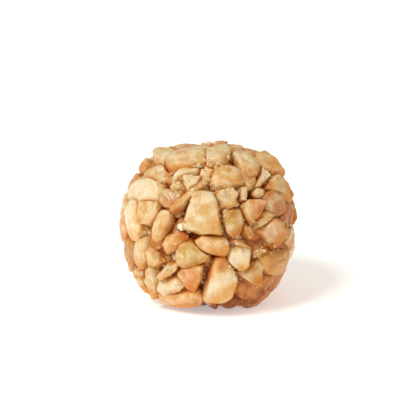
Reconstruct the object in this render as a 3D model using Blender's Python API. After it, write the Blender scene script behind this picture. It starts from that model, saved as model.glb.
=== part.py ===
"""A bite-sized ball of peanut butter candy, rolled in chopped roasted peanuts.

The ball is one solid: a sticky, lumpy middle, flat where it rests, with the nut pieces pressed
into it all round. Each piece is a bulging body chopped by flat cuts: one along each side of its
outline, one underneath, and for the flat ones a tilted one on top. The pieces of the front have
their outlines written out, and a seeded rule strews the rest of the ball. X is to the viewer's
right, Y is away from the viewer, Z is up, and the origin is the middle of the flat base. Lengths
are in millimetres until the end, when the finished ball is scaled to metres.
"""

import math
import random
from typing import NamedTuple

import bmesh
import bpy
from mathutils import Matrix, Vector

MM = 0.001

# The outside of the ball, over the nuts.
WIDTH = 37.9
DEPTH = 36.8
MIDDLE_HEIGHT = 15.5
HEIGHT_ABOVE_MIDDLE = 17.4
SQUARENESS = 2.4  # exponent of the outline: 2 is an ellipse, and more is boxier
MIDDLE = Vector((0.0, 0.0, MIDDLE_HEIGHT))

# The sticky middle under the nuts.
NUT_LAYER = 2.4
UNDERSIDE = 0.35  # how far round the underside the nut layer thins out, as a share of the ball
LUMP_HEIGHT = 0.9
LUMP_WAVES = 7
LUMP_PITCH = (7.0, 12.0)
MIDDLE_SUBDIVISIONS = 3

# How the front of the ball is seen: from this far above the level.
VIEW_TILT = math.radians(14.0)
RIGHT = Vector((1, 0, 0))
UPWARD = Vector((0, math.sin(VIEW_TILT), math.cos(VIEW_TILT)))
TO_VIEWER = Vector((0, -math.cos(VIEW_TILT), math.sin(VIEW_TILT)))
LEAST_FACING = 0.45  # a piece at the rim of the view is drawn out by no more than one over this

SEED = 21
PAN_SIZES = (  # long side, wide side, height, tries: the largest pieces stick on first
    ((6.4, 8.2), (4.2, 5.2), (3.2, 4.0), 500),
    ((4.6, 6.2), (3.2, 4.3), (2.8, 3.6), 2500),
)
CLOSENESS = 0.86  # distance between two pieces, as a share of their mean half sizes together
LOWEST_PIECE = 2.0
STREWN_RISE = (-0.9, 0.1)
MOST_LEAN = 14.0
STREWN_SIDES = (5, 7)
CORNER_PLAY = (0.85, 1.12)
SPACING_PLAY = 0.22  # how far a corner strays along its outline, as a share of their spacing


class Kind(NamedTuple):
    """A way a piece is shaped: the bulge of its body beyond its outline, and its flat cuts."""

    swell: float
    crown: float
    side_lean: float
    top_tilt: float


KINDS = {
    "split": Kind(1.08, 1.0, 6.0, 0.0),  # half a kernel, smooth and round
    "chip": Kind(1.5, 1.5, 12.0, 12.0),  # chopped flat all round
    "chalk": Kind(1.4, 1.3, 18.0, 8.0),  # a broken, crumbly piece
    "coat": Kind(1.12, 1.0, 14.0, 0.0),  # a lump under the sticky coat
}
STREWN_KINDS = ("split", "split", "chip", "chip", "chip", "chalk")
LEAN_PLAY = (0.3, 1.7)  # how far the lean of one side cut varies, as shares of its kind's
TILT_PLAY = (0.5, 1.5)
UNDERCUT = 0.8  # how far down a piece goes below its middle, as a share of half its height
FINE_SIDE = 6.5  # a smooth piece longer than this is rounded more finely
PLAIN_BODY = (1, 1.12)  # subdivisions, and the radius that makes up for the flat faces
FINE_BODY = (2, 1.04)
BODY_TURN = 2.4  # each body is turned by its seed, and by this many times its seed, in radians


class Nut(NamedTuple):
    """One nut piece: where its top is, the way it lies, and its outline about its middle."""

    place: Vector
    outward: Vector
    along: Vector
    outline: tuple
    high: float
    kind: str
    seed: int


# The pieces of the front, from the top down: the outline of each as the viewer sees it, across
# and up from the ball's middle, then its height, how far its top stands out, and its kind.
FRONT_PIECES = (
    # the crown
    (
        ((-9.4, 16.2), (-7.4, 17.2), (-5, 17.5), (-2.2, 17.4), (-2.4, 16.4), (-6, 15.7), (-9, 15.4)),
        3.4, 0.4, "split",
    ),
    (((-2.2, 17.4), (1, 17.5), (1.2, 16.4), (-2, 16.3)), 2.8, -0.3, "chip"),
    (((0.9, 17.6), (1.8, 18.1), (3.5, 17.8), (4.2, 17.1), (3.6, 16.4), (1, 16.4)), 3.0, 0.5, "chip"),
    (((4.2, 17.5), (5.6, 17.6), (7.5, 17), (7.3, 16.1), (4.4, 16)), 2.8, 0.0, "chip"),
    (((7.4, 16.8), (9.4, 16.7), (10.3, 16.1), (9.8, 14.5), (8, 14.8)), 3.0, 0.2, "split"),
    (
        ((-12, 14.9), (-10.9, 16.1), (-8.5, 16.3), (-6.6, 15.6), (-7.1, 13.6), (-9.5, 13.1), (-11.6, 13.5)),
        3.8, 0.6, "chip",
    ),
    (
        ((-8.7, 14), (-8, 12.1), (-5, 12.4), (-0.8, 13.1), (-0.3, 15.9), (-3, 16.8), (-6, 15.6)),
        4.2, 0.8, "split",
    ),
    (
        ((-0.6, 13), (-0.3, 15.4), (0.6, 16.6), (3.4, 16.7), (4.2, 15.4), (3.9, 13), (2, 12.6)),
        4.0, 0.7, "chip",
    ),
    (
        ((5, 14.6), (5.4, 15.6), (7, 16), (9, 15), (10.4, 12.9), (10.2, 11.2), (8.6, 10.6), (6.6, 12)),
        4.2, 0.5, "split",
    ),
    (
        ((10, 15.6), (12, 16.1), (13.6, 14), (16.1, 10.6), (14.5, 10.8), (12.4, 11.6), (10.4, 13.3)),
        3.6, 0.3, "chip",
    ),
    # the upper band
    (((-13.8, 12.6), (-12.4, 14.5), (-11.2, 14.2), (-11.6, 12.6), (-13, 12)), 3.0, -1.0, "coat"),
    (
        ((-14.4, 10.4), (-14.1, 11.9), (-12.4, 13), (-9.9, 13), (-8.9, 11.6), (-9.4, 9.8), (-12, 9.5)),
        3.6, -0.6, "split",
    ),
    (
        ((-7.4, 10), (-7, 11), (-4.2, 12.3), (-2.2, 12.3), (-2.1, 11.4), (-4.4, 10.5), (-6.8, 9.7)),
        3.0, -0.3, "chip",
    ),
    (((-5.6, 10.3), (-1.5, 10.2), (-2.2, 8.4), (-4.2, 6.9), (-4.9, 8.2)), 3.4, 0.3, "chip"),
    (((-8.3, 8), (-7.4, 9), (-5.6, 9.3), (-5.4, 7.8), (-7.2, 7)), 2.8, -0.4, "chalk"),
    (((-2, 10.2), (-1.6, 12.2), (0.4, 12.5), (1.8, 11.8), (0.8, 9.8), (-1, 9.5)), 2.8, -0.5, "chalk"),
    (
        ((0.4, 9), (1.2, 11.2), (3, 12.4), (5.4, 12.2), (6.8, 10.2), (7.1, 8.8), (4.4, 8), (2, 8.1)),
        4.0, 0.7, "split",
    ),
    (((11.1, 12.4), (12.6, 11.1), (12.3, 9.4), (11.2, 8.6), (9.9, 8.4), (10.5, 10.8)), 3.4, 0.2, "chip"),
    (
        ((12.6, 8), (12.9, 9.6), (15, 11), (16.9, 9), (17.8, 6.2), (17.2, 5.3), (14.6, 6.6)),
        3.4, 0.2, "chip",
    ),
    (
        (
            (-17, 8.2), (-16, 9.6), (-13.6, 10.2), (-10.4, 9),
            (-10, 6.6), (-11.2, 5), (-15.4, 4.6), (-17.1, 6),
        ),
        4.0, -0.2, "split",
    ),
    # the middle band
    (((-14.6, 5), (-10.6, 5), (-10.7, 2.4), (-12.2, 0.3), (-13.9, 0.6), (-14.5, 3)), 4.0, 0.4, "split"),
    (
        (
            (-17.3, 3), (-16.6, 5), (-14.9, 5), (-14.2, 2.6),
            (-14, -0.8), (-14.6, -3), (-16.4, -2.6), (-17.2, 0),
        ),
        3.8, 0.6, "split",
    ),
    (
        ((-10.4, 6), (-9.4, 7.6), (-7.4, 7.6), (-6.1, 6), (-6.6, 4.2), (-8.6, 3.6), (-10.2, 4.6)),
        3.6, 0.0, "split",
    ),
    (
        (
            (-8.1, 3.5), (-7.4, 4.6), (-3.6, 7.9), (-1.2, 9.9),
            (-0.1, 9.5), (-1.6, 7.6), (-5.4, 3.9), (-7.2, 2.9),
        ),
        3.2, 0.1, "chip",
    ),
    (
        (
            (-3.2, 6.2), (-1.8, 7), (1, 6.6), (1.9, 3.6), (2.4, 0),
            (2.2, -1.5), (-1.4, -1.2), (-5, -0.4), (-4.9, 2),
        ),
        4.8, 0.9, "chip",
    ),
    (((1.4, 6.6), (2.2, 7.8), (4.8, 8), (6.2, 6.8), (6, 4.8), (4.4, 3.7), (2.4, 4)), 4.0, 0.4, "chalk"),
    (((6.1, 5.2), (6.2, 7.9), (7.8, 8), (7.7, 5.1)), 3.2, 0.0, "chip"),
    (((9.2, 6.8), (9.8, 7.8), (11.2, 7.7), (11.6, 6.6), (10.6, 5.9), (9.6, 6)), 3.0, 0.0, "split"),
    (
        ((7.2, 4.2), (8, 5.3), (10.8, 5.3), (11.5, 4.4), (10.6, 2.4), (9, 0.7), (8.2, 1.3), (7.2, 3)),
        4.0, 0.7, "chip",
    ),
    (
        ((11.4, 4.6), (11.3, 6.2), (12.8, 7.4), (14.9, 7), (16, 5.2), (15.6, 3), (14, 2), (12.4, 2.6)),
        3.8, 0.3, "split",
    ),
    (((11, 2.9), (13.6, 2.5), (13, 1.2), (11.6, 0.2), (10, -0.9), (9.8, 0.6)), 3.2, -0.1, "chip"),
    (((15.3, 1.4), (15.8, 4.6), (17.4, 5), (18.2, 3), (18.2, 0.6), (16.4, 0)), 2.8, -0.4, "coat"),
    (
        ((-19, 0.6), (-18.4, 2.9), (-17.2, 3.4), (-16.8, 0), (-17.3, -3.1), (-18.4, -2.6), (-19, -0.8)),
        3.0, 0.3, "split",
    ),
    (
        ((-11.8, -1.6), (-11.2, 1.6), (-9.6, 3.1), (-7.9, 2.9), (-8, 0.6), (-9.4, -2.6), (-10.8, -3.3)),
        3.4, 0.1, "split",
    ),
    (((3, 2.9), (6.5, 3), (7.1, 1.4), (6.4, -1.2), (5, -2.6), (3.8, -1.8), (3.1, 0.6)), 3.4, 0.1, "split"),
    (((6.6, -0.2), (7.4, 0.6), (8.4, -0.4), (9.3, -2.2), (8.4, -3), (7.4, -2)), 2.8, -0.2, "chip"),
    (
        (
            (13.3, 1.8), (16.2, -0.7), (16.4, -2), (15, -3.3),
            (13.5, -4.9), (12, -3.5), (10.9, -1.5), (11.8, 0.3),
        ),
        3.8, 0.5, "chip",
    ),
    (((16.3, -3.6), (16.6, -1), (18.2, -0.4), (18.6, -2.6), (18.2, -4.4), (17, -4.6)), 3.0, 0.0, "split"),
    # the lower band
    (
        ((-9.5, -4), (-8.8, -2.2), (-6.6, -1.2), (-4.6, -1.7), (-4.8, -3.2), (-6.6, -5), (-8.4, -5.9)),
        3.6, 0.2, "split",
    ),
    (
        (
            (-2.8, -3), (-1, -1.9), (2.5, -2.1), (3.7, -2.8),
            (4.1, -4.6), (3, -6.3), (0.4, -5.5), (-1.8, -4.6),
        ),
        3.8, 0.5, "split",
    ),
    (
        (
            (-6.5, -5.4), (-5.6, -3.7), (-4, -2.9), (-2.2, -3.9), (0.1, -6.3),
            (-1.2, -7.4), (-3, -8.2), (-5.2, -8.3), (-6.3, -7),
        ),
        4.2, 0.7, "split",
    ),
    (((8.8, -2.6), (9.4, -1.2), (11, -1.4), (12, -3.4), (11.4, -4.6), (9.6, -4.4)), 2.6, -0.7, "coat"),
    (((4.9, -3.2), (5.6, -2.7), (7.6, -3.4), (10, -4.7), (8.6, -4.9), (6, -4.5)), 2.8, -0.3, "chip"),
    (
        ((-18.3, -5), (-17.8, -2.9), (-16, -2.6), (-15, -5), (-15.4, -8), (-16.8, -8.7), (-17.8, -7.4)),
        3.2, 0.1, "coat",
    ),
    (
        ((-15.6, -5.6), (-14.9, -3), (-13.4, -2.7), (-12.8, -4.6), (-13, -7.8), (-14, -9), (-15.2, -8)),
        3.6, 0.4, "split",
    ),
    (
        ((-12.2, -4), (-11.4, -2.8), (-9.8, -2.9), (-9.4, -4.4), (-10.6, -5.2), (-11.8, -5)),
        2.8, -0.3, "coat",
    ),
    (
        (
            (-12.9, -4.2), (-12.2, -3.2), (-11, -4.9), (-8.6, -6.1),
            (-9.4, -7.5), (-11.2, -8.8), (-12.6, -8.6),
        ),
        3.8, 0.3, "chip",
    ),
    (
        ((3.8, -6.9), (4.2, -5), (5.6, -4.3), (8.6, -4.9), (8.3, -6.9), (6.3, -8.9), (4.9, -8.2)),
        4.2, 0.8, "chip",
    ),
    (((9.2, -5), (10.4, -4.7), (12.2, -4.9), (12, -6.4), (10.2, -7)), 2.6, -0.4, "chalk"),
    (
        (
            (11, -9), (11.4, -6.2), (13.4, -5.2), (16.4, -5),
            (17.6, -6.4), (17, -9), (15, -10.4), (12.2, -10.2),
        ),
        3.8, 0.5, "coat",
    ),
    # the underside of the front
    (
        ((-16, -9.4), (-15, -9.2), (-13.4, -12), (-12, -14.8), (-13.6, -14.2), (-15.3, -12)),
        3.4, 0.2, "chip",
    ),
    (
        (
            (-13.2, -9.4), (-12, -8.8), (-11, -10.4), (-10, -13.4),
            (-10.2, -15.4), (-11.8, -15), (-13, -12.4),
        ),
        3.4, 0.3, "chip",
    ),
    (
        (
            (-10.6, -10.2), (-10.4, -9.2), (-8.4, -8.2), (-6.8, -7),
            (-5.9, -7.9), (-6.9, -9.4), (-8.4, -10.7), (-9.8, -11.2),
        ),
        3.4, 0.0, "chip",
    ),
    (((-10.5, -11.6), (-7, -10.9), (-5.1, -12.1), (-6, -13.5), (-8, -14.2), (-10, -14)), 3.6, 0.4, "chip"),
    (
        (
            (-6.4, -9.8), (-5.2, -8.5), (-3, -8), (-1.1, -8),
            (-1.4, -10.5), (-2.4, -13.6), (-4.4, -13), (-6, -11),
        ),
        4.0, 0.4, "chip",
    ),
    (
        (
            (1.2, -7.4), (3.3, -7), (5.1, -9.1), (5.9, -11), (5.5, -13),
            (4.5, -15), (1, -16), (-0.9, -15.3), (-1.1, -14), (0.1, -10.6),
        ),
        4.6, 0.9, "split",
    ),
    (
        (
            (6.2, -9.4), (8, -8.1), (10, -7.3), (11.3, -8.3),
            (11.1, -9.7), (10, -12.1), (8.6, -11.9), (6.6, -10.4),
        ),
        4.0, 0.5, "chip",
    ),
    (
        ((5.6, -13), (6.6, -11.2), (9, -12), (11, -12.2), (10.8, -14.4), (8.6, -15.6), (6.4, -15.4)),
        3.2, -0.1, "coat",
    ),
    (
        ((11, -14), (11.2, -10.8), (13.4, -9.8), (15.6, -9.8), (15.4, -12), (14, -14.1), (12.4, -15)),
        3.6, 0.3, "coat",
    ),
    (
        (
            (-10.4, -15.1), (-9.8, -13.9), (-6, -13.7), (-2.6, -13.5),
            (-1.5, -14.8), (-2, -16.5), (-6, -16.9), (-9, -16.4),
        ),
        3.6, 0.9, "split",
    ),
    (((-0.8, -16.2), (0.4, -15.9), (1.6, -16), (2.1, -16.8), (1.2, -17.3), (0, -17)), 2.6, 0.0, "chip"),
    (((2, -16.2), (4.8, -15.2), (6.8, -15.4), (6.6, -16.5), (4, -17.1), (2.2, -17)), 3.0, 0.1, "coat"),
    (
        ((7.4, -16.2), (8.4, -15.2), (12.4, -14.8), (13.2, -15.2), (10.6, -16.2), (8.6, -16.6)),
        3.0, 0.1, "coat",
    ),
)


def stretch(offset):
    """How far out an offset from the middle is: 1 on the outside of the ball."""
    level = math.hypot(offset.x / (WIDTH / 2), offset.y / (DEPTH / 2))
    rise = abs(offset.z) / HEIGHT_ABOVE_MIDDLE
    return (level**SQUARENESS + rise**SQUARENESS) ** (1 / SQUARENESS)


def outside(direction):
    """The point of the ball's outside in this direction from its middle, flat at the base."""
    reach = 1 / stretch(direction)
    if direction.z < 0:
        reach = min(reach, MIDDLE_HEIGHT / -direction.z)
    return MIDDLE + direction * reach


def outward_at(point):
    """The way the ball's outside faces at a point of its round part."""
    offset = point - MIDDLE
    level = math.hypot(offset.x / (WIDTH / 2), offset.y / (DEPTH / 2))
    slope = level ** (SQUARENESS - 2)
    rise = abs(offset.z / HEIGHT_ABOVE_MIDDLE) ** (SQUARENESS - 1)
    return Vector(
        (
            slope * offset.x / (WIDTH / 2) ** 2,
            slope * offset.y / (DEPTH / 2) ** 2,
            math.copysign(rise, offset.z) / HEIGHT_ABOVE_MIDDLE,
        )
    ).normalized()


def seen_on_front(across, up):
    """The point of the outside that the viewer sees this far across and up from the middle."""
    offset = RIGHT * across + UPWARD * up
    near, far = 0.0, WIDTH
    for _ in range(30):
        half_way = (near + far) / 2
        if stretch(offset + TO_VIEWER * half_way) < 1:
            near = half_way
        else:
            far = half_way
    return outside((offset + TO_VIEWER * near).normalized())


def farthest_apart(outline):
    """The direction between the two corners of an outline that are farthest apart."""
    pairs = [(a, b) for a in outline for b in outline if a != b]
    a, b = max(pairs, key=lambda pair: (Vector(pair[0]) - Vector(pair[1])).length)
    return Vector(b) - Vector(a)


def front_nut(row, seed):
    """One of the pieces written out, laid on the ball where the viewer sees it."""
    seen, high, rise, kind = row
    across = sum(corner[0] for corner in seen) / len(seen)
    up = sum(corner[1] for corner in seen) / len(seen)
    point = seen_on_front(across, up)
    outward = outward_at(point)
    facing = max(outward.dot(TO_VIEWER), LEAST_FACING)

    def laid(right, upward):
        offset = RIGHT * right + UPWARD * upward
        offset -= TO_VIEWER * (offset.dot(outward) / facing)
        return offset - outward * offset.dot(outward)

    along = laid(*farthest_apart(seen)).normalized()
    side = outward.cross(along)
    corners = [laid(x - across, y - up) for x, y in seen]
    outline = tuple((corner.dot(along), corner.dot(side)) for corner in corners)
    return Nut(point + outward * rise, outward, along, outline, high, kind, seed)


def strewn_nuts(placed):
    """The rest of the ball: pieces of falling size land at random and stick where there is room."""
    dice = random.Random(SEED)
    nuts = list(placed)
    for long_range, wide_range, high_range, tries in PAN_SIZES:
        for _ in range(tries):
            direction = Vector([dice.gauss(0, 1) for _ in range(3)]).normalized()
            long, wide = dice.uniform(*long_range), dice.uniform(*wide_range)
            high = dice.uniform(*high_range)
            turn, lean = dice.uniform(0, 360), dice.uniform(-MOST_LEAN, MOST_LEAN)
            kind = dice.choice(STREWN_KINDS)
            rise = dice.uniform(*STREWN_RISE)
            sides = dice.randint(*STREWN_SIDES)
            start = dice.uniform(0, math.tau)
            outline = []
            for k in range(sides):
                angle = start + (k + dice.uniform(-SPACING_PLAY, SPACING_PLAY)) * math.tau / sides
                play = dice.uniform(*CORNER_PLAY)
                outline.append((play * long / 2 * math.cos(angle), play * wide / 2 * math.sin(angle)))
            point = outside(direction)
            if point.z < LOWEST_PIECE or any(
                (point - other.place).length < CLOSENESS * ((long + wide) / 4 + mean_reach(other))
                for other in nuts
            ):
                continue
            outward = outward_at(point)
            along = outward.orthogonal().normalized()
            along.rotate(Matrix.Rotation(math.radians(turn), 3, outward))
            outward.rotate(Matrix.Rotation(math.radians(lean), 3, along))
            nuts.append(Nut(point + outward * rise, outward, along, tuple(outline), high, kind, len(nuts)))
    return nuts


def mean_reach(nut):
    """The mean distance of a piece's corners from its middle."""
    return sum(math.hypot(x, y) for x, y in nut.outline) / len(nut.outline)


def body_of(nut):
    """The half sizes of the body a piece is chopped from."""
    kind = KINDS[nut.kind]
    return (
        kind.swell * max(abs(x) for x, _ in nut.outline),
        kind.swell * max(abs(y) for _, y in nut.outline),
        kind.crown * nut.high / 2,
    )


def cuts_of(nut):
    """The flat cuts of a piece, as (facing, distance from its middle)."""
    dice = random.Random(SEED + nut.seed)
    kind = KINDS[nut.kind]
    cuts = [(Vector((0, 0, -1)), UNDERCUT * nut.high / 2)]
    corners = nut.outline
    turns = sum(a[0] * b[1] - a[1] * b[0] for a, b in zip(corners, corners[1:] + corners[:1]))
    for a, b in zip(corners, corners[1:] + corners[:1]):
        facing = Vector((b[1] - a[1], a[0] - b[0], 0)).normalized() * math.copysign(1, turns)
        distance = facing.x * a[0] + facing.y * a[1]
        lean = math.radians(kind.side_lean * dice.uniform(*LEAN_PLAY))
        facing = facing * math.cos(lean) + Vector((0, 0, math.sin(lean)))
        cuts.append((facing, distance * math.cos(lean)))
    bearing = dice.uniform(0, math.tau)
    if kind.top_tilt:
        tilt = math.radians(kind.top_tilt * dice.uniform(*TILT_PLAY))
        level = math.sin(tilt)
        facing = Vector((level * math.cos(bearing), level * math.sin(bearing), math.cos(tilt)))
        cuts.append((facing, nut.high / 2))
    return cuts


def chopped(nut, collection):
    """The piece as a closed mesh: its bulging body, chopped by its cuts."""
    fine = nut.kind == "split" and mean_reach(nut) > FINE_SIDE / 2
    subdivisions, radius = FINE_BODY if fine else PLAIN_BODY
    mesh = bmesh.new()
    bmesh.ops.create_icosphere(mesh, subdivisions=subdivisions, radius=radius)
    spin = Matrix.Rotation(nut.seed, 4, "Z") @ Matrix.Rotation(nut.seed * BODY_TURN, 4, "X")
    mesh.transform(Matrix.Diagonal((*body_of(nut), 1)) @ spin)
    for facing, distance in cuts_of(nut):
        everything = mesh.verts[:] + mesh.edges[:] + mesh.faces[:]
        cut = bmesh.ops.bisect_plane(
            mesh, geom=everything, plane_co=facing * distance, plane_no=facing, clear_outer=True
        )
        rim = [item for item in cut["geom_cut"] if isinstance(item, bmesh.types.BMEdge)]
        if rim:
            bmesh.ops.contextual_create(mesh, geom=rim)
    side = nut.outward.cross(nut.along)
    turned = Matrix((nut.along, side, nut.outward)).transposed().to_4x4()
    mesh.transform(Matrix.Translation(nut.place - nut.outward * nut.high / 2) @ turned)
    bmesh.ops.recalc_face_normals(mesh, faces=mesh.faces)
    data = bpy.data.meshes.new("nut")
    mesh.to_mesh(data)
    mesh.free()
    collection.objects.link(bpy.data.objects.new("nut", data))


def sticky_middle():
    """The lumpy middle under the nuts, as an object."""
    dice = random.Random(SEED)
    waves = []
    for _ in range(LUMP_WAVES):
        way = Vector([dice.gauss(0, 1) for _ in range(3)]).normalized()
        waves.append((way * math.tau / dice.uniform(*LUMP_PITCH), dice.uniform(0, math.tau)))
    mesh = bmesh.new()
    bmesh.ops.create_icosphere(mesh, subdivisions=MIDDLE_SUBDIVISIONS, radius=1)
    for vertex in mesh.verts:
        direction = vertex.co.normalized()
        layer = NUT_LAYER * min(1, (1 + direction.z) / UNDERSIDE)
        point = direction * (1 / stretch(direction) - layer)
        lump = sum(math.sin(way.dot(point) + phase) for way, phase in waves) / LUMP_WAVES
        vertex.co = MIDDLE + point + direction * lump * LUMP_HEIGHT
    data = bpy.data.meshes.new("peanut_bite")
    mesh.to_mesh(data)
    mesh.free()
    ball = bpy.data.objects.new("peanut_bite", data)
    whole = bpy.data.collections.new("peanut butter bite")
    bpy.context.scene.collection.children.link(whole)
    whole.objects.link(ball)
    return ball


def boolean(ball, operation, operand):
    """Applies one Boolean to the ball, with a collection or an object as its operand."""
    step = ball.modifiers.new("boolean", "BOOLEAN")
    step.operation = operation
    step.solver = "EXACT"
    if isinstance(operand, bpy.types.Collection):
        step.operand_type = "COLLECTION"
        step.collection = operand
    else:
        step.object = operand
    graph = bpy.context.evaluated_depsgraph_get()
    result = bpy.data.meshes.new_from_object(ball.evaluated_get(graph))
    ball.modifiers.clear()
    ball.data = result


def fuse(ball, pieces):
    """Joins the pieces to the ball as one solid, cuts its base flat, and removes the pieces."""
    boolean(ball, "UNION", pieces)
    for piece in list(pieces.objects):
        bpy.data.objects.remove(piece)
    bpy.data.collections.remove(pieces)
    mesh = bmesh.new()
    bmesh.ops.create_cube(mesh, size=WIDTH * 2, matrix=Matrix.Translation((0, 0, -WIDTH)))
    block = bpy.data.meshes.new("below")
    mesh.to_mesh(block)
    mesh.free()
    below = bpy.data.objects.new("below", block)
    bpy.context.scene.collection.objects.link(below)
    boolean(ball, "DIFFERENCE", below)
    bpy.data.objects.remove(below)


def shells_of(mesh):
    """The faces of a bmesh, sorted into its separate shells."""
    left = set(mesh.faces)
    shells = []
    while left:
        shell, waiting = set(), [left.pop()]
        while waiting:
            face = waiting.pop()
            shell.add(face)
            edges = [edge for edge in face.edges if len(edge.link_faces) == 2]
            for other in (other for edge in edges for other in edge.link_faces if other in left):
                left.remove(other)
                waiting.append(other)
        shells.append(shell)
    return sorted(shells, key=len)


def clean(ball):
    """Keeps the outer shell alone, which fills the hollows, and scales the ball to metres."""
    mesh = bmesh.new()
    mesh.from_mesh(ball.data)
    bmesh.ops.triangulate(mesh, faces=mesh.faces)
    for shell in shells_of(mesh)[:-1]:
        bmesh.ops.delete(mesh, geom=list(shell), context="FACES")
    mesh.transform(Matrix.Scale(MM, 4))
    mesh.to_mesh(ball.data)
    mesh.free()


def nut_finish(ball):
    """Pale gold of roasted peanuts."""
    finish_of = bpy.data.materials.new("roasted_peanut")
    finish_of.use_nodes = True
    shader = finish_of.node_tree.nodes["Principled BSDF"]
    shader.inputs["Base Color"].default_value = (0.72, 0.47, 0.22, 1)
    shader.inputs["Roughness"].default_value = 0.5
    ball.data.materials.clear()
    ball.data.materials.append(finish_of)


def main():
    for thing in list(bpy.data.objects):
        bpy.data.objects.remove(thing)
    front = [front_nut(row, seed) for seed, row in enumerate(FRONT_PIECES)]
    nuts = strewn_nuts(front)
    pieces = bpy.data.collections.new("nut pieces")
    bpy.context.scene.collection.children.link(pieces)
    for nut in nuts:
        chopped(nut, pieces)
    ball = sticky_middle()
    fuse(ball, pieces)
    clean(ball)
    nut_finish(ball)


if __name__ == "__main__":
    main()
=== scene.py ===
"""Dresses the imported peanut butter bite: nut pieces, sticky middle, crumbs and the stage.

Every nut piece of the solid is made again finely, in the same place and with the same cuts, so
that the visible ball keeps the solid's form. Lengths are in millimetres until a mesh is written,
and a piece's place is in its mesh. X is to the viewer's right, Y away from the viewer, Z is up.
"""

import math
import random
from typing import NamedTuple

import bpy
import numpy as np
from mathutils import Matrix, Vector
from mathutils.bvhtree import BVHTree


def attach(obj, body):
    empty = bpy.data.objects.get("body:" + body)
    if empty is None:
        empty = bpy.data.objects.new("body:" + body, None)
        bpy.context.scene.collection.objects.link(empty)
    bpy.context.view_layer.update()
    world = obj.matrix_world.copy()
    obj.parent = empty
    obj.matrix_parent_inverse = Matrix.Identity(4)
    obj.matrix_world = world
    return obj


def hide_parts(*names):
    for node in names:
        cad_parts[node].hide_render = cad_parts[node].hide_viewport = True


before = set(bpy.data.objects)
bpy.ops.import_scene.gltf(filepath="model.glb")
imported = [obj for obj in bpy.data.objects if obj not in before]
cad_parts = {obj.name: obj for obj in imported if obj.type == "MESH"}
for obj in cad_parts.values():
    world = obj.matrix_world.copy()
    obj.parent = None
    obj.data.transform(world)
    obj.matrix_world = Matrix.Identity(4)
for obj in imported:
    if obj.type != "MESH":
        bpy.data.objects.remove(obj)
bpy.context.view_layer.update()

bl_info = {
    "name": "Peanut Butter Bite",
    "version": (1, 0, 0),
    "blender": (4, 5, 0),
    "location": "View3D > Sidebar > Bite",
    "description": "Makes a ball of peanut butter candy rolled in chopped roasted peanuts",
    "category": "Add Mesh",
}

MM = 0.001
NODE = "peanut_bite"
BODY = "root"

# The outside of the ball, over the nuts.
WIDTH = 37.9
DEPTH = 36.8
MIDDLE_HEIGHT = 15.5
HEIGHT_ABOVE_MIDDLE = 17.4
SQUARENESS = 2.4  # exponent of the outline: 2 is an ellipse, and more is boxier
MIDDLE = Vector((0.0, 0.0, MIDDLE_HEIGHT))

# The sticky middle under the nuts.
NUT_LAYER = 2.4
UNDERSIDE = 0.35  # how far round the underside the nut layer thins out, as a share of the ball
LUMP_HEIGHT = 0.9
LUMP_WAVES = 7
LUMP_PITCH = (7.0, 12.0)

# How the front of the ball is seen: from this far above the level.
VIEW_TILT = math.radians(14.0)
RIGHT = Vector((1, 0, 0))
UPWARD = Vector((0, math.sin(VIEW_TILT), math.cos(VIEW_TILT)))
TO_VIEWER = Vector((0, -math.cos(VIEW_TILT), math.sin(VIEW_TILT)))
LEAST_FACING = 0.45  # a piece at the rim of the view is drawn out by no more than one over this

SEED = 21
PAN_SIZES = (  # long side, wide side, height, tries: the largest pieces stick on first
    ((6.4, 8.2), (4.2, 5.2), (3.2, 4.0), 500),
    ((4.6, 6.2), (3.2, 4.3), (2.8, 3.6), 2500),
)
CLOSENESS = 0.86  # distance between two pieces, as a share of their mean half sizes together
LOWEST_PIECE = 2.0
STREWN_RISE = (-0.9, 0.1)
MOST_LEAN = 14.0
STREWN_SIDES = (5, 7)
CORNER_PLAY = (0.85, 1.12)
SPACING_PLAY = 0.22  # how far a corner strays along its outline, as a share of their spacing


class Kind(NamedTuple):
    """A way a piece is shaped: the bulge of its body beyond its outline, and its flat cuts."""

    swell: float
    crown: float
    side_lean: float
    top_tilt: float


KINDS = {
    "split": Kind(1.08, 1.0, 6.0, 0.0),  # half a kernel, smooth and round
    "chip": Kind(1.5, 1.5, 12.0, 12.0),  # chopped flat all round
    "chalk": Kind(1.4, 1.3, 18.0, 8.0),  # a broken, crumbly piece
    "coat": Kind(1.12, 1.0, 14.0, 0.0),  # a lump under the sticky coat
}
STREWN_KINDS = ("split", "split", "chip", "chip", "chip", "chalk")
UNDERCUT = 0.8  # how far down a piece goes below its middle, as a share of half its height
LEAN_PLAY = (0.3, 1.7)  # how far a side leans, as a share of its kind's lean
TILT_PLAY = (0.5, 1.5)  # how far a top tilts, as a share of its kind's tilt
STREWN_TONES = {  # the tones of a piece's top and of its broken sides, one pair of them at random
    "split": ("gold/pale", "pale/cream", "tan/gold", "peach/pale", "cream/pale", "amber/gold"),
    "chip": ("pale/cream", "gold/cream", "amber/pale", "cream/cream", "peach/gold", "gold/amber"),
    "chalk": ("pale/cream", "cream/pale", "gold/cream"),
}


class Grain(NamedTuple):
    """The fine form of a kind: how crisp its edges are, its chipped corners and its surface."""

    crispness: float  # exponent of the rounding: more is crisper
    facets: tuple  # how many broad facets its top has, from and to
    chips: tuple  # how many corners are chipped off, from and to
    bite: tuple  # how deep a facet or chipped corner goes, as a share of the piece's reach
    smooth_wave: float  # height of the slow waves on the skin, mm
    rough_wave: float  # height of the grains on a broken face, mm


GRAINS = {
    "split": Grain(28.0, (0, 1), (1, 2), (0.02, 0.07), 0.26, 0.30),
    "chip": Grain(60.0, (1, 3), (1, 3), (0.03, 0.13), 0.20, 0.36),
    "chalk": Grain(44.0, (1, 3), (3, 5), (0.04, 0.16), 0.26, 0.62),
    "coat": Grain(11.0, (0, 1), (2, 4), (0.02, 0.08), 0.40, 0.30),
}


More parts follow.
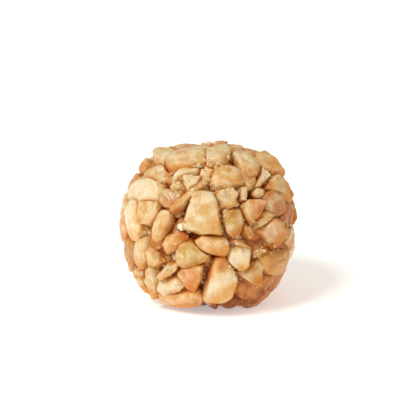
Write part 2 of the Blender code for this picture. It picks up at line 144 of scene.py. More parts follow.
class Nut(NamedTuple):
    """One nut piece: where its top is, the way it lies, and its outline about its middle."""

    place: Vector
    outward: Vector
    along: Vector
    outline: tuple
    high: float
    kind: str
    tones: str  # of its top and of its broken sides
    seed: int


# The pieces of the front, from the top down: the outline of each as the viewer sees it, across
# and up from the ball's middle, then its height, how far its top stands out, its kind and tones.
FRONT_PIECES = (
    # the crown
    ((-9.4, 16.2), (-7.4, 17.2), (-5, 17.5), (-2.2, 17.4), (-2.4, 16.4), (-6, 15.7), (-9, 15.4),
     3.4, 0.4, "split", "tan/tan"),
    ((-2.2, 17.4), (1, 17.5), (1.2, 16.4), (-2, 16.3), 2.8, -0.3, "chip", "cream/cream"),
    ((0.9, 17.6), (1.8, 18.1), (3.5, 17.8), (4.2, 17.1), (3.6, 16.4), (1, 16.4),
     3.0, 0.5, "chip", "amber/amber"),
    ((4.2, 17.5), (5.6, 17.6), (7.5, 17), (7.3, 16.1), (4.4, 16), 2.8, 0.0, "chip", "pale/gold"),
    ((7.4, 16.8), (9.4, 16.7), (10.3, 16.1), (9.8, 14.5), (8, 14.8), 3.0, 0.2, "split", "tan/gold"),
    ((-12, 14.9), (-10.9, 16.1), (-8.5, 16.3), (-6.6, 15.6), (-7.1, 13.6), (-9.5, 13.1), (-11.6, 13.5),
     3.8, 0.6, "chip", "pale/cream"),
    ((-8.7, 14), (-8, 12.1), (-5, 12.4), (-0.8, 13.1), (-0.3, 15.9), (-3, 16.8), (-6, 15.6),
     4.2, 0.8, "split", "pale/gold"),
    ((-0.6, 13), (-0.3, 15.4), (0.6, 16.6), (3.4, 16.7), (4.2, 15.4), (3.9, 13), (2, 12.6),
     4.0, 0.7, "chip", "cream/pale"),
    ((5, 14.6), (5.4, 15.6), (7, 16), (9, 15), (10.4, 12.9), (10.2, 11.2), (8.6, 10.6), (6.6, 12),
     4.2, 0.5, "split", "pale/gold"),
    ((10, 15.6), (12, 16.1), (13.6, 14), (16.1, 10.6), (14.5, 10.8), (12.4, 11.6), (10.4, 13.3),
     3.6, 0.3, "chip", "gold/pale"),
    # the upper band
    ((-13.8, 12.6), (-12.4, 14.5), (-11.2, 14.2), (-11.6, 12.6), (-13, 12), 3.0, -1.0, "coat", "tan/coat"),
    ((-14.4, 10.4), (-14.1, 11.9), (-12.4, 13), (-9.9, 13), (-8.9, 11.6), (-9.4, 9.8), (-12, 9.5),
     3.6, -0.6, "split", "pale/pale"),
    ((-7.4, 10), (-7, 11), (-4.2, 12.3), (-2.2, 12.3), (-2.1, 11.4), (-4.4, 10.5), (-6.8, 9.7),
     3.0, -0.3, "chip", "cream/cream"),
    ((-5.6, 10.3), (-1.5, 10.2), (-2.2, 8.4), (-4.2, 6.9), (-4.9, 8.2), 3.4, 0.3, "chip", "cream/cream"),
    ((-8.3, 8), (-7.4, 9), (-5.6, 9.3), (-5.4, 7.8), (-7.2, 7), 2.8, -0.4, "chalk", "cream/cream"),
    ((-2, 10.2), (-1.6, 12.2), (0.4, 12.5), (1.8, 11.8), (0.8, 9.8), (-1, 9.5),
     2.8, -0.5, "chalk", "cream/white"),
    ((0.4, 9), (1.2, 11.2), (3, 12.4), (5.4, 12.2), (6.8, 10.2), (7.1, 8.8), (4.4, 8), (2, 8.1),
     4.0, 0.7, "split", "gold/cream"),
    ((11.1, 12.4), (12.6, 11.1), (12.3, 9.4), (11.2, 8.6), (9.9, 8.4), (10.5, 10.8),
     3.4, 0.2, "chip", "cream/cream"),
    ((12.6, 8), (12.9, 9.6), (15, 11), (16.9, 9), (17.8, 6.2), (17.2, 5.3), (14.6, 6.6),
     3.4, 0.2, "chip", "pale/gold"),
    ((-17, 8.2), (-16, 9.6), (-13.6, 10.2), (-10.4, 9), (-10, 6.6), (-11.2, 5), (-15.4, 4.6), (-17.1, 6),
     4.0, -0.2, "split", "cream/pale"),
    # the middle band
    ((-14.6, 5), (-10.6, 5), (-10.7, 2.4), (-12.2, 0.3), (-13.9, 0.6), (-14.5, 3),
     4.0, 0.4, "split", "pale/pale"),
    ((-17.3, 3), (-16.6, 5), (-14.9, 5), (-14.2, 2.6), (-14, -0.8), (-14.6, -3), (-16.4, -2.6), (-17.2, 0),
     3.8, 0.6, "split", "cream/cream"),
    ((-10.4, 6), (-9.4, 7.6), (-7.4, 7.6), (-6.1, 6), (-6.6, 4.2), (-8.6, 3.6), (-10.2, 4.6),
     3.6, 0.0, "split", "tan/amber"),
    ((-8.1, 3.5), (-7.4, 4.6), (-3.6, 7.9), (-1.2, 9.9), (-0.1, 9.5), (-1.6, 7.6), (-5.4, 3.9), (-7.2, 2.9),
     3.2, 0.1, "chip", "pale/gold"),
    ((-3.2, 6.2), (-1.8, 7), (1, 6.6), (1.9, 3.6), (2.4, 0), (2.2, -1.5), (-1.4, -1.2), (-5, -0.4),
     (-4.9, 2), 4.8, 0.9, "chip", "pale/cream"),
    ((1.4, 6.6), (2.2, 7.8), (4.8, 8), (6.2, 6.8), (6, 4.8), (4.4, 3.7), (2.4, 4),
     4.0, 0.4, "chalk", "gold/pale"),
    ((6.1, 5.2), (6.2, 7.9), (7.8, 8), (7.7, 5.1), 3.2, 0.0, "chip", "tan/pale"),
    ((9.2, 6.8), (9.8, 7.8), (11.2, 7.7), (11.6, 6.6), (10.6, 5.9), (9.6, 6),
     3.0, 0.0, "split", "pale/pale"),
    ((7.2, 4.2), (8, 5.3), (10.8, 5.3), (11.5, 4.4), (10.6, 2.4), (9, 0.7), (8.2, 1.3), (7.2, 3),
     4.0, 0.7, "chip", "amber/gold"),
    ((11.4, 4.6), (11.3, 6.2), (12.8, 7.4), (14.9, 7), (16, 5.2), (15.6, 3), (14, 2), (12.4, 2.6),
     3.8, 0.3, "split", "tan/peach"),
    ((11, 2.9), (13.6, 2.5), (13, 1.2), (11.6, 0.2), (10, -0.9), (9.8, 0.6),
     3.2, -0.1, "chip", "pale/gold"),
    ((15.3, 1.4), (15.8, 4.6), (17.4, 5), (18.2, 3), (18.2, 0.6), (16.4, 0),
     2.8, -0.4, "coat", "brown/coat"),
    ((-19, 0.6), (-18.4, 2.9), (-17.2, 3.4), (-16.8, 0), (-17.3, -3.1), (-18.4, -2.6), (-19, -0.8),
     3.0, 0.3, "split", "peach/peach"),
    ((-11.8, -1.6), (-11.2, 1.6), (-9.6, 3.1), (-7.9, 2.9), (-8, 0.6), (-9.4, -2.6), (-10.8, -3.3),
     3.4, 0.1, "split", "pale/gold"),
    ((3, 2.9), (6.5, 3), (7.1, 1.4), (6.4, -1.2), (5, -2.6), (3.8, -1.8), (3.1, 0.6),
     3.4, 0.1, "split", "olive/tan"),
    ((6.6, -0.2), (7.4, 0.6), (8.4, -0.4), (9.3, -2.2), (8.4, -3), (7.4, -2),
     2.8, -0.2, "chip", "tan/cream"),
    ((13.3, 1.8), (16.2, -0.7), (16.4, -2), (15, -3.3), (13.5, -4.9), (12, -3.5), (10.9, -1.5), (11.8, 0.3),
     3.8, 0.5, "chip", "peach/tan"),
    ((16.3, -3.6), (16.6, -1), (18.2, -0.4), (18.6, -2.6), (18.2, -4.4), (17, -4.6),
     3.0, 0.0, "split", "pale/cream"),
    # the lower band
    ((-9.5, -4), (-8.8, -2.2), (-6.6, -1.2), (-4.6, -1.7), (-4.8, -3.2), (-6.6, -5), (-8.4, -5.9),
     3.6, 0.2, "split", "gold/amber"),
    ((-2.8, -3), (-1, -1.9), (2.5, -2.1), (3.7, -2.8), (4.1, -4.6), (3, -6.3), (0.4, -5.5), (-1.8, -4.6),
     3.8, 0.5, "split", "gold/amber"),
    ((-6.5, -5.4), (-5.6, -3.7), (-4, -2.9), (-2.2, -3.9), (0.1, -6.3), (-1.2, -7.4), (-3, -8.2),
     (-5.2, -8.3), (-6.3, -7), 4.2, 0.7, "split", "olive/pale"),
    ((8.8, -2.6), (9.4, -1.2), (11, -1.4), (12, -3.4), (11.4, -4.6), (9.6, -4.4),
     2.6, -0.7, "coat", "brown/coat"),
    ((4.9, -3.2), (5.6, -2.7), (7.6, -3.4), (10, -4.7), (8.6, -4.9), (6, -4.5),
     2.8, -0.3, "chip", "gold/amber"),
    ((-18.3, -5), (-17.8, -2.9), (-16, -2.6), (-15, -5), (-15.4, -8), (-16.8, -8.7), (-17.8, -7.4),
     3.2, 0.1, "coat", "tan/brown"),
    ((-15.6, -5.6), (-14.9, -3), (-13.4, -2.7), (-12.8, -4.6), (-13, -7.8), (-14, -9), (-15.2, -8),
     3.6, 0.4, "split", "pale/cream"),
    ((-12.2, -4), (-11.4, -2.8), (-9.8, -2.9), (-9.4, -4.4), (-10.6, -5.2), (-11.8, -5),
     2.8, -0.3, "coat", "brown/coat"),
    ((-12.9, -4.2), (-12.2, -3.2), (-11, -4.9), (-8.6, -6.1), (-9.4, -7.5), (-11.2, -8.8), (-12.6, -8.6),
     3.8, 0.3, "chip", "gold/gold"),
    ((3.8, -6.9), (4.2, -5), (5.6, -4.3), (8.6, -4.9), (8.3, -6.9), (6.3, -8.9), (4.9, -8.2),
     4.2, 0.8, "chip", "cream/cream"),
    ((9.2, -5), (10.4, -4.7), (12.2, -4.9), (12, -6.4), (10.2, -7), 2.6, -0.4, "chalk", "tan/peach"),
    ((11, -9), (11.4, -6.2), (13.4, -5.2), (16.4, -5), (17.6, -6.4), (17, -9), (15, -10.4), (12.2, -10.2),
     3.8, 0.5, "coat", "peach/tan"),
    # the underside of the front
    ((-16, -9.4), (-15, -9.2), (-13.4, -12), (-12, -14.8), (-13.6, -14.2), (-15.3, -12),
     3.4, 0.2, "chip", "gold/gold"),
    ((-13.2, -9.4), (-12, -8.8), (-11, -10.4), (-10, -13.4), (-10.2, -15.4), (-11.8, -15), (-13, -12.4),
     3.4, 0.3, "chip", "pale/cream"),
    ((-10.6, -10.2), (-10.4, -9.2), (-8.4, -8.2), (-6.8, -7), (-5.9, -7.9), (-6.9, -9.4), (-8.4, -10.7),
     (-9.8, -11.2), 3.4, 0.0, "chip", "gold/pale"),
    ((-10.5, -11.6), (-7, -10.9), (-5.1, -12.1), (-6, -13.5), (-8, -14.2), (-10, -14),
     3.6, 0.4, "chip", "cream/cream"),
    ((-6.4, -9.8), (-5.2, -8.5), (-3, -8), (-1.1, -8), (-1.4, -10.5), (-2.4, -13.6), (-4.4, -13), (-6, -11),
     4.0, 0.4, "chip", "amber/gold"),
    ((1.2, -7.4), (3.3, -7), (5.1, -9.1), (5.9, -11), (5.5, -13), (4.5, -15), (1, -16), (-0.9, -15.3),
     (-1.1, -14), (0.1, -10.6), 4.6, 0.9, "split", "cream/peach"),
    ((6.2, -9.4), (8, -8.1), (10, -7.3), (11.3, -8.3), (11.1, -9.7), (10, -12.1), (8.6, -11.9),
     (6.6, -10.4), 4.0, 0.5, "chip", "pale/pale"),
    ((5.6, -13), (6.6, -11.2), (9, -12), (11, -12.2), (10.8, -14.4), (8.6, -15.6), (6.4, -15.4),
     3.2, -0.1, "coat", "brown/coat"),
    ((11, -14), (11.2, -10.8), (13.4, -9.8), (15.6, -9.8), (15.4, -12), (14, -14.1), (12.4, -15),
     3.6, 0.3, "coat", "brown/coat"),
    ((-10.4, -15.1), (-9.8, -13.9), (-6, -13.7), (-2.6, -13.5), (-1.5, -14.8), (-2, -16.5), (-6, -16.9),
     (-9, -16.4), 3.6, 0.9, "split", "gold/gold"),
    ((-0.8, -16.2), (0.4, -15.9), (1.6, -16), (2.1, -16.8), (1.2, -17.3), (0, -17),
     2.6, 0.0, "chip", "coat/coat"),
    ((2, -16.2), (4.8, -15.2), (6.8, -15.4), (6.6, -16.5), (4, -17.1), (2.2, -17),
     3.0, 0.1, "coat", "coat/coat"),
    ((7.4, -16.2), (8.4, -15.2), (12.4, -14.8), (13.2, -15.2), (10.6, -16.2), (8.6, -16.6),
     3.0, 0.1, "coat", "coat/brown"),
)


def stretch(offset):
    """How far out an offset from the middle is: 1 on the outside of the ball."""
    level = math.hypot(offset.x / (WIDTH / 2), offset.y / (DEPTH / 2))
    rise = abs(offset.z) / HEIGHT_ABOVE_MIDDLE
    return (level**SQUARENESS + rise**SQUARENESS) ** (1 / SQUARENESS)


def outside(direction):
    """The point of the ball's outside in this direction from its middle, flat at the base."""
    reach = 1 / stretch(direction)
    if direction.z < 0:
        reach = min(reach, MIDDLE_HEIGHT / -direction.z)
    return MIDDLE + direction * reach


def outward_at(point):
    """The way the ball's outside faces at a point of its round part."""
    offset = point - MIDDLE
    level = math.hypot(offset.x / (WIDTH / 2), offset.y / (DEPTH / 2))
    slope = level ** (SQUARENESS - 2)
    rise = abs(offset.z / HEIGHT_ABOVE_MIDDLE) ** (SQUARENESS - 1)
    return Vector(
        (
            slope * offset.x / (WIDTH / 2) ** 2,
            slope * offset.y / (DEPTH / 2) ** 2,
            math.copysign(rise, offset.z) / HEIGHT_ABOVE_MIDDLE,
        )
    ).normalized()


HALVINGS = 30


def seen_on_front(across, up):
    """The point of the outside that the viewer sees this far across and up from the middle,
    found by halving the stretch of the line of sight that it lies in."""
    offset = RIGHT * across + UPWARD * up
    near, far = 0.0, WIDTH
    for _ in range(HALVINGS):
        half_way = (near + far) / 2
        if stretch(offset + TO_VIEWER * half_way) < 1:
            near = half_way
        else:
            far = half_way
    return outside((offset + TO_VIEWER * near).normalized())


def farthest_apart(outline):
    """The direction between the two corners of an outline that are farthest apart."""
    pairs = [(a, b) for a in outline for b in outline if a != b]
    a, b = max(pairs, key=lambda pair: (Vector(pair[0]) - Vector(pair[1])).length)
    return Vector(b) - Vector(a)


def front_nut(row, seed):
    """One of the pieces written out, laid on the ball where the viewer sees it."""
    *seen, high, rise, kind, tones = row
    across = sum(corner[0] for corner in seen) / len(seen)
    up = sum(corner[1] for corner in seen) / len(seen)
    point = seen_on_front(across, up)
    outward = outward_at(point)
    facing = max(outward.dot(TO_VIEWER), LEAST_FACING)

    def laid(right, upward):
        offset = RIGHT * right + UPWARD * upward
        offset -= TO_VIEWER * (offset.dot(outward) / facing)
        return offset - outward * offset.dot(outward)

    along = laid(*farthest_apart(seen)).normalized()
    side = outward.cross(along)
    corners = [laid(x - across, y - up) for x, y in seen]
    outline = tuple((corner.dot(along), corner.dot(side)) for corner in corners)
    return Nut(point + outward * rise, outward, along, outline, high, kind, tones, seed)


def strewn_nuts(placed):
    """The rest of the ball: pieces of falling size land at random and stick where there is room."""
    dice = random.Random(SEED)
    nuts = list(placed)
    for long_range, wide_range, high_range, tries in PAN_SIZES:
        for _ in range(tries):
            direction = Vector([dice.gauss(0, 1) for _ in range(3)]).normalized()
            long, wide = dice.uniform(*long_range), dice.uniform(*wide_range)
            high = dice.uniform(*high_range)
            turn, lean = dice.uniform(0, 360), dice.uniform(-MOST_LEAN, MOST_LEAN)
            kind = dice.choice(STREWN_KINDS)
            rise = dice.uniform(*STREWN_RISE)
            sides = dice.randint(*STREWN_SIDES)
            start = dice.uniform(0, math.tau)
            outline = []
            for k in range(sides):
                stray = dice.uniform(-SPACING_PLAY, SPACING_PLAY)
                angle = start + (k + stray) * math.tau / sides
                play = dice.uniform(*CORNER_PLAY)
                outline.append((play * long / 2 * math.cos(angle), play * wide / 2 * math.sin(angle)))
            point = outside(direction)
            if point.z < LOWEST_PIECE or any(
                (point - other.place).length < CLOSENESS * ((long + wide) / 4 + mean_reach(other))
                for other in nuts
            ):
                continue
            outward = outward_at(point)
            along = outward.orthogonal().normalized()
            along.rotate(Matrix.Rotation(math.radians(turn), 3, outward))
            outward.rotate(Matrix.Rotation(math.radians(lean), 3, along))
            place, seed = point + outward * rise, len(nuts)
            tones = random.Random(seed).choice(STREWN_TONES[kind])
            nuts.append(Nut(place, outward, along, tuple(outline), high, kind, tones, seed))
    return nuts


def mean_reach(nut):
    """The mean distance of a piece's corners from its middle."""
    return sum(math.hypot(x, y) for x, y in nut.outline) / len(nut.outline)


def body_of(nut):
    """The half sizes of the body a piece is chopped from."""
    kind = KINDS[nut.kind]
    return (
        kind.swell * max(abs(x) for x, _ in nut.outline),
        kind.swell * max(abs(y) for _, y in nut.outline),
        kind.crown * nut.high / 2,
    )


def cuts_of(nut):
    """The flat cuts of a piece, as (facing, distance from its middle)."""
    dice = random.Random(SEED + nut.seed)
    kind = KINDS[nut.kind]
    cuts = [(Vector((0, 0, -1)), UNDERCUT * nut.high / 2)]
    corners = nut.outline
    turns = sum(a[0] * b[1] - a[1] * b[0] for a, b in zip(corners, corners[1:] + corners[:1]))
    for a, b in zip(corners, corners[1:] + corners[:1]):
        facing = Vector((b[1] - a[1], a[0] - b[0], 0)).normalized() * math.copysign(1, turns)
        distance = facing.x * a[0] + facing.y * a[1]
        lean = math.radians(kind.side_lean * dice.uniform(*LEAN_PLAY))
        facing = facing * math.cos(lean) + Vector((0, 0, math.sin(lean)))
        cuts.append((facing, distance * math.cos(lean)))
    bearing = dice.uniform(0, math.tau)
    if kind.top_tilt:
        tilt = math.radians(kind.top_tilt * dice.uniform(*TILT_PLAY))
        level = math.sin(tilt)
        facing = Vector((level * math.cos(bearing), level * math.sin(bearing), math.cos(tilt)))
        cuts.append((facing, nut.high / 2))
    return cuts


def stretch_of(offsets):
    """How far out each row of offsets is: the square root of x² and y² over the half sizes and
    the height over its own half size, both to the squareness, summed, and the root taken."""
    level = np.hypot(offsets[:, 0] / (WIDTH / 2), offsets[:, 1] / (DEPTH / 2))
    rise = np.abs(offsets[:, 2]) / HEIGHT_ABOVE_MIDDLE
    return (level**SQUARENESS + rise**SQUARENESS) ** (1 / SQUARENESS)


LOW_BITS = 0xFFFFFFFF
AXIS_FACTORS = (374761393, 668265263, 1103515245)  # large odd numbers, which scatter the bits
SEED_FACTOR = 974634777
FOLDS = ((13, 1274126177), (15, 668265263))
LAST_FOLD = 16


def scramble(corner, seed):
    """A number from -1 to 1 for each whole-numbered corner, made by multiplying and folding."""
    mixed = (corner @ np.array(AXIS_FACTORS) + seed * SEED_FACTOR) & LOW_BITS
    for shift, factor in FOLDS:
        mixed = ((mixed ^ (mixed >> shift)) * factor) & LOW_BITS
    return (mixed ^ (mixed >> LAST_FOLD)) / 2**31 - 1


def grain(points, pitch, seed):
    """Smooth noise from -1 to 1: a random number at each corner of a cubic lattice of this pitch,
    blended between the eight corners round a point by 3t² - 2t³ along each axis."""
    place = points / pitch
    corner = np.floor(place).astype(np.int64)
    part = place - corner
    part = part * part * (3 - 2 * part)
    total = np.zeros(len(points))
    for step in np.ndindex(2, 2, 2):
        weight = np.prod(np.where(np.array(step) == 1, part, 1 - part), axis=1)
        total += weight * scramble(corner + np.array(step), seed)
    return total


SHOWN_ROWS = 0.82  # this share of a nut piece's rows lies above the sticky middle
SHOWN_SLOPE = math.radians(118)


def closed_grid(columns, rows, fine_top=False):
    """The unit directions of a closed grid, and its faces: a pole above, rings of columns points
    at equal steps of the angle from it, a pole below, triangles at the poles and quads between.
    With a fine top, the rings lie closer together where a nut piece shows."""
    steps = np.linspace(0, 1, rows + 1)[1:-1, None]
    slope = steps * np.pi
    if fine_top:
        slope = np.interp(steps, (0, SHOWN_ROWS, 1), (0, SHOWN_SLOPE, np.pi))
    bearing = np.arange(columns)[None, :] * 2 * np.pi / columns
    level = np.ones_like(bearing)
    ring = np.stack(
        [np.sin(slope) * np.cos(bearing), np.sin(slope) * np.sin(bearing), np.cos(slope) * level],
        axis=-1,
    ).reshape(-1, 3)
    ways = np.vstack([[0, 0, 1], ring, [0, 0, -1]])
    index = 1 + np.arange((rows - 1) * columns).reshape(rows - 1, columns)
    after = np.roll(index, -1, axis=1)
    last = len(ways) - 1
    above = np.stack([np.zeros(columns, int), index[0], after[0]], axis=-1)
    below = np.stack([np.full(columns, last), after[-1], index[-1]], axis=-1)
    quads = np.stack([index[1:], after[1:], after[:-1], index[:-1]], axis=-1).reshape(-1, 4)
    return ways, (np.vstack([above, below]), quads)


def smooth_step(values, low, high):
    """0 below low, 1 above high, and 3t² - 2t³ between."""
    part = np.clip((values - low) / (high - low), 0, 1)
    return part * part * (3 - 2 * part)


class Shape:
    """Points, faces and values of many like pieces, gathered to be one object."""

    def __init__(self):
        self.points = []
        self.triangles = []
        self.quads = []
        self.values = {}
        self.count = 0

    def add(self, points, faces, **values):
        triangles, quads = faces
        self.points.append(points)
        self.triangles.append(triangles + self.count)
        self.quads.append(quads + self.count)
        for name, value in values.items():
            self.values.setdefault(name, []).append(value)
        self.count += len(points)

    def make(self, name, finish, smooth=True):
        """Makes the object, riding on the ball's body in place of the plain solid."""
        points = np.vstack(self.points)
        points[:, 2] = np.maximum(points[:, 2], 0)
        triangles, quads = np.vstack(self.triangles), np.vstack(self.quads)
        mesh = bpy.data.meshes.new(name)
        mesh.vertices.add(len(points))
        mesh.vertices.foreach_set("co", (points * MM).ravel())
        mesh.loops.add(triangles.size + quads.size)
        mesh.loops.foreach_set("vertex_index", np.concatenate([triangles.ravel(), quads.ravel()]))
        mesh.polygons.add(len(triangles) + len(quads))
        starts = np.concatenate(
            [np.arange(len(triangles)) * 3, triangles.size + np.arange(len(quads)) * 4]
        )
        mesh.polygons.foreach_set("loop_start", starts)
        mesh.polygons.foreach_set("use_smooth", np.full(len(starts), smooth))
        for key, parts in self.values.items():
            value = np.concatenate(parts)
            if value.ndim == 2:
                rgba = np.column_stack([value, np.ones(len(value))])
                layer = mesh.color_attributes.new(name=key, type="FLOAT_COLOR", domain="POINT")
                layer.data.foreach_set("color", rgba.ravel())
            else:
                layer = mesh.attributes.new(name=key, type="FLOAT", domain="POINT")
                layer.data.foreach_set("value", value)
        mesh.update(calc_edges=True)
        mesh.validate()
        piece = bpy.data.objects.new(name, mesh)
        bpy.context.scene.collection.objects.link(piece)
        mesh.materials.append(finish)
        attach(piece, BODY)
        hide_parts(NODE)


class Value:
    """A number that varies over a surface. Sums on it add Math nodes."""

    def __init__(self, finish, socket):
        self.finish = finish
        self.socket = socket

    def sum_of(self, operation, first, second):
        return self.finish.node("ShaderNodeMath", {"operation": operation}, {0: first, 1: second})

    def __add__(self, other):
        return self.sum_of("ADD", self, other)

    def __sub__(self, other):
        return self.sum_of("SUBTRACT", self, other)

    def __rsub__(self, other):
        return self.sum_of("SUBTRACT", other, self)

    def __mul__(self, other):
        return self.sum_of("MULTIPLY", self, other)

    def rising(self, low, high):
        """0 below low and 1 above high, with a smooth step between."""
        return self.finish.node(
            "ShaderNodeMapRange",
            {"interpolation_type": "SMOOTHSTEP"},
            {"Value": self, "From Min": low, "From Max": high},
        )


class Finish:
    """A node material in the making."""

    def __init__(self, name):
        self.material = bpy.data.materials.new(name)
        self.material.use_nodes = True
        self.tree = self.material.node_tree
        self.tree.nodes.clear()
        self.place = self.node("ShaderNodeTexCoord", output="Object")

    def node(self, kind, settings=None, inputs=None, output=0):
        """Adds a node: its settings first, then the values or links of its sockets."""
        made = self.tree.nodes.new(kind)
        for name, value in (settings or {}).items():
            setattr(made, name, value)
        for name, value in (inputs or {}).items():
            if isinstance(value, Value):
                self.tree.links.new(value.socket, made.inputs[name])
            else:
                made.inputs[name].default_value = value
        return Value(self, made.outputs[output]) if made.outputs else None

    def read(self, name, output="Fac"):
        """A value that the mesh carries."""
        return self.node("ShaderNodeAttribute", {"attribute_name": name}, output=output)

    def noise(self, pitch, detail=2.0, stretch=None):
        """Noise with bumps about this far apart, in millimetres."""
        place = self.place
        if stretch:
            place = self.node("ShaderNodeMapping", {}, {"Vector": place, "Scale": stretch})
        inputs = {"Vector": place, "Scale": 1 / (pitch * MM), "Detail": detail}
        return self.node("ShaderNodeTexNoise", {}, inputs)

    def mix(self, factor, first, second, blend="MIX"):
        """One colour over another."""
        settings = {"data_type": "RGBA", "blend_type": blend}
        return self.node("ShaderNodeMix", settings, {0: factor, 6: first, 7: second}, 2)

    def surface(self, colour, roughness, bumps, **constants):
        """The shader, with bumps given as (height, strength, depth in millimetres)."""
        normal = None
        for height, strength, depth in bumps:
            inputs = {"Height": height, "Strength": strength, "Distance": depth * MM}
            if normal is not None:
                inputs["Normal"] = normal
            normal = self.node("ShaderNodeBump", {}, inputs)
        inputs = {"Base Color": colour, "Roughness": roughness, "Normal": normal}
        inputs.update({key.replace("_", " "): value for key, value in constants.items()})
        shader = self.node("ShaderNodeBsdfPrincipled", {}, inputs)
        self.node("ShaderNodeOutputMaterial", {}, {"Surface": shader})
        return self.material


def linear(red, green, blue):
    """A colour as a screen shows it, 0 to 255, in the linear light that shaders use."""
    return tuple(
        share / 12.92 if share <= 0.04045 else ((share + 0.055) / 1.055) ** 2.4
        for share in (red / 255, green / 255, blue / 255)
    )


def opaque(red, green, blue):
    """A colour as a screen shows it, for a socket."""
    return (*linear(red, green, blue), 1)


def tone_property(name, colour):
    return bpy.props.FloatVectorProperty(
        name=name,
        description=f"Colour of the nut pieces that are {name.lower()}",
        default=linear(*colour),
        subtype="COLOR",
        min=0.0,
        max=1.0,
    )


class BiteTones(bpy.types.PropertyGroup):
    """The colours of the nut pieces and of the coat."""

    white: tone_property("White", (240, 230, 208))
    cream: tone_property("Cream", (226, 211, 180))
    pale: tone_property("Pale gold", (212, 180, 124))
    gold: tone_property("Gold", (211, 164, 88))
    amber: tone_property("Amber", (208, 134, 36))
    tan: tone_property("Tan", (192, 138, 70))
    peach: tone_property("Peach", (209, 151, 84))
    olive: tone_property("Olive gold", (196, 156, 78))
    coat: tone_property("Coat", (142, 72, 22))
    brown: tone_property("Brown coat", (190, 118, 50))


def count_property(name, description, default):
    return bpy.props.IntProperty(name=name, description=description, default=default, min=0, max=5000)


class BiteSizes(bpy.types.PropertyGroup):
    """The sizes and counts of the crumbs and the coat."""

    chips: count_property("Small chips", "How many small chips lie between the pieces", 800)
    crumbs: count_property("Crumbs", "How many crumbs fill the gaps", 2200)
    flecks: count_property("Flecks", "How many flecks of nut dust lie on the pieces", 1500)
    fillet: bpy.props.FloatProperty(
        name="Fillet",
        description="How high the sticky middle climbs against a nut piece",
        default=0.0007,
        min=0.0,
        max=0.002,
        unit="LENGTH",
    )
    gloss: bpy.props.FloatProperty(
        name="Gloss",
        description="How glossy the coat is",
        default=0.7,
        min=0.0,
        max=1.0,
        subtype="FACTOR",
    )


def tone(name):
    """One of the tones, as an array."""
    return np.array(getattr(bpy.context.scene.bite_tones, name))


ROUNDING = 1.9  # makes up for what the rounding takes off a corner of two cuts
FACET_CLIMB = (52, 76)  # degrees above the piece's own level that a broad facet faces
CHIP_CLIMB = (8, 45)
NUTS = []  # every piece, as it is laid out
FORMS = {}  # the fine form of each piece, by its seed
CUTS = {}  # the cuts of each piece, by its seed, with the chipped corners added
BOXINESS = 3.2  # exponent of a body's plan: 2 is an ellipse
CREASE_WIDTH = 0.09
LEAST_CUT = 0.3  # no cut lies nearer the middle of its piece, mm
FACE_ROUGHNESS = (0.1, 0.6, 1.0)  # how broken a cut face is, one of these at random
TOP_ROUGHNESS = (0.1, 0.3, 0.7)
WAVE_DRAW = (0.45, 1, 1)  # the finer waves and creases run along a piece
WAVE_PITCHES = (2.6, 1.1, 1.9)  # of the slow waves, the finer ones and the creases, mm
GRAIN_PITCHES = (1.5, 0.8, 0.45)  # of the ridges of a broken face, its grains and its finest grains


def body_gauge(points, half):
    """1 on the bulging body: the shares of the half sizes, the two level ones to the boxiness
    and together back to a square, plus the upright one squared, and the root of that."""
    share = np.abs(points / half)
    plan = (share[:, 0] ** BOXINESS + share[:, 1] ** BOXINESS) ** (2 / BOXINESS)
    return np.sqrt(plan + share[:, 2] ** 2)


def creases(points, pitch, seed):
    """Narrow grooves, from -1 in them to 0 between: a bell curve of the noise about zero."""
    return -np.exp(-((grain(points, pitch, seed) / CREASE_WIDTH) ** 2))


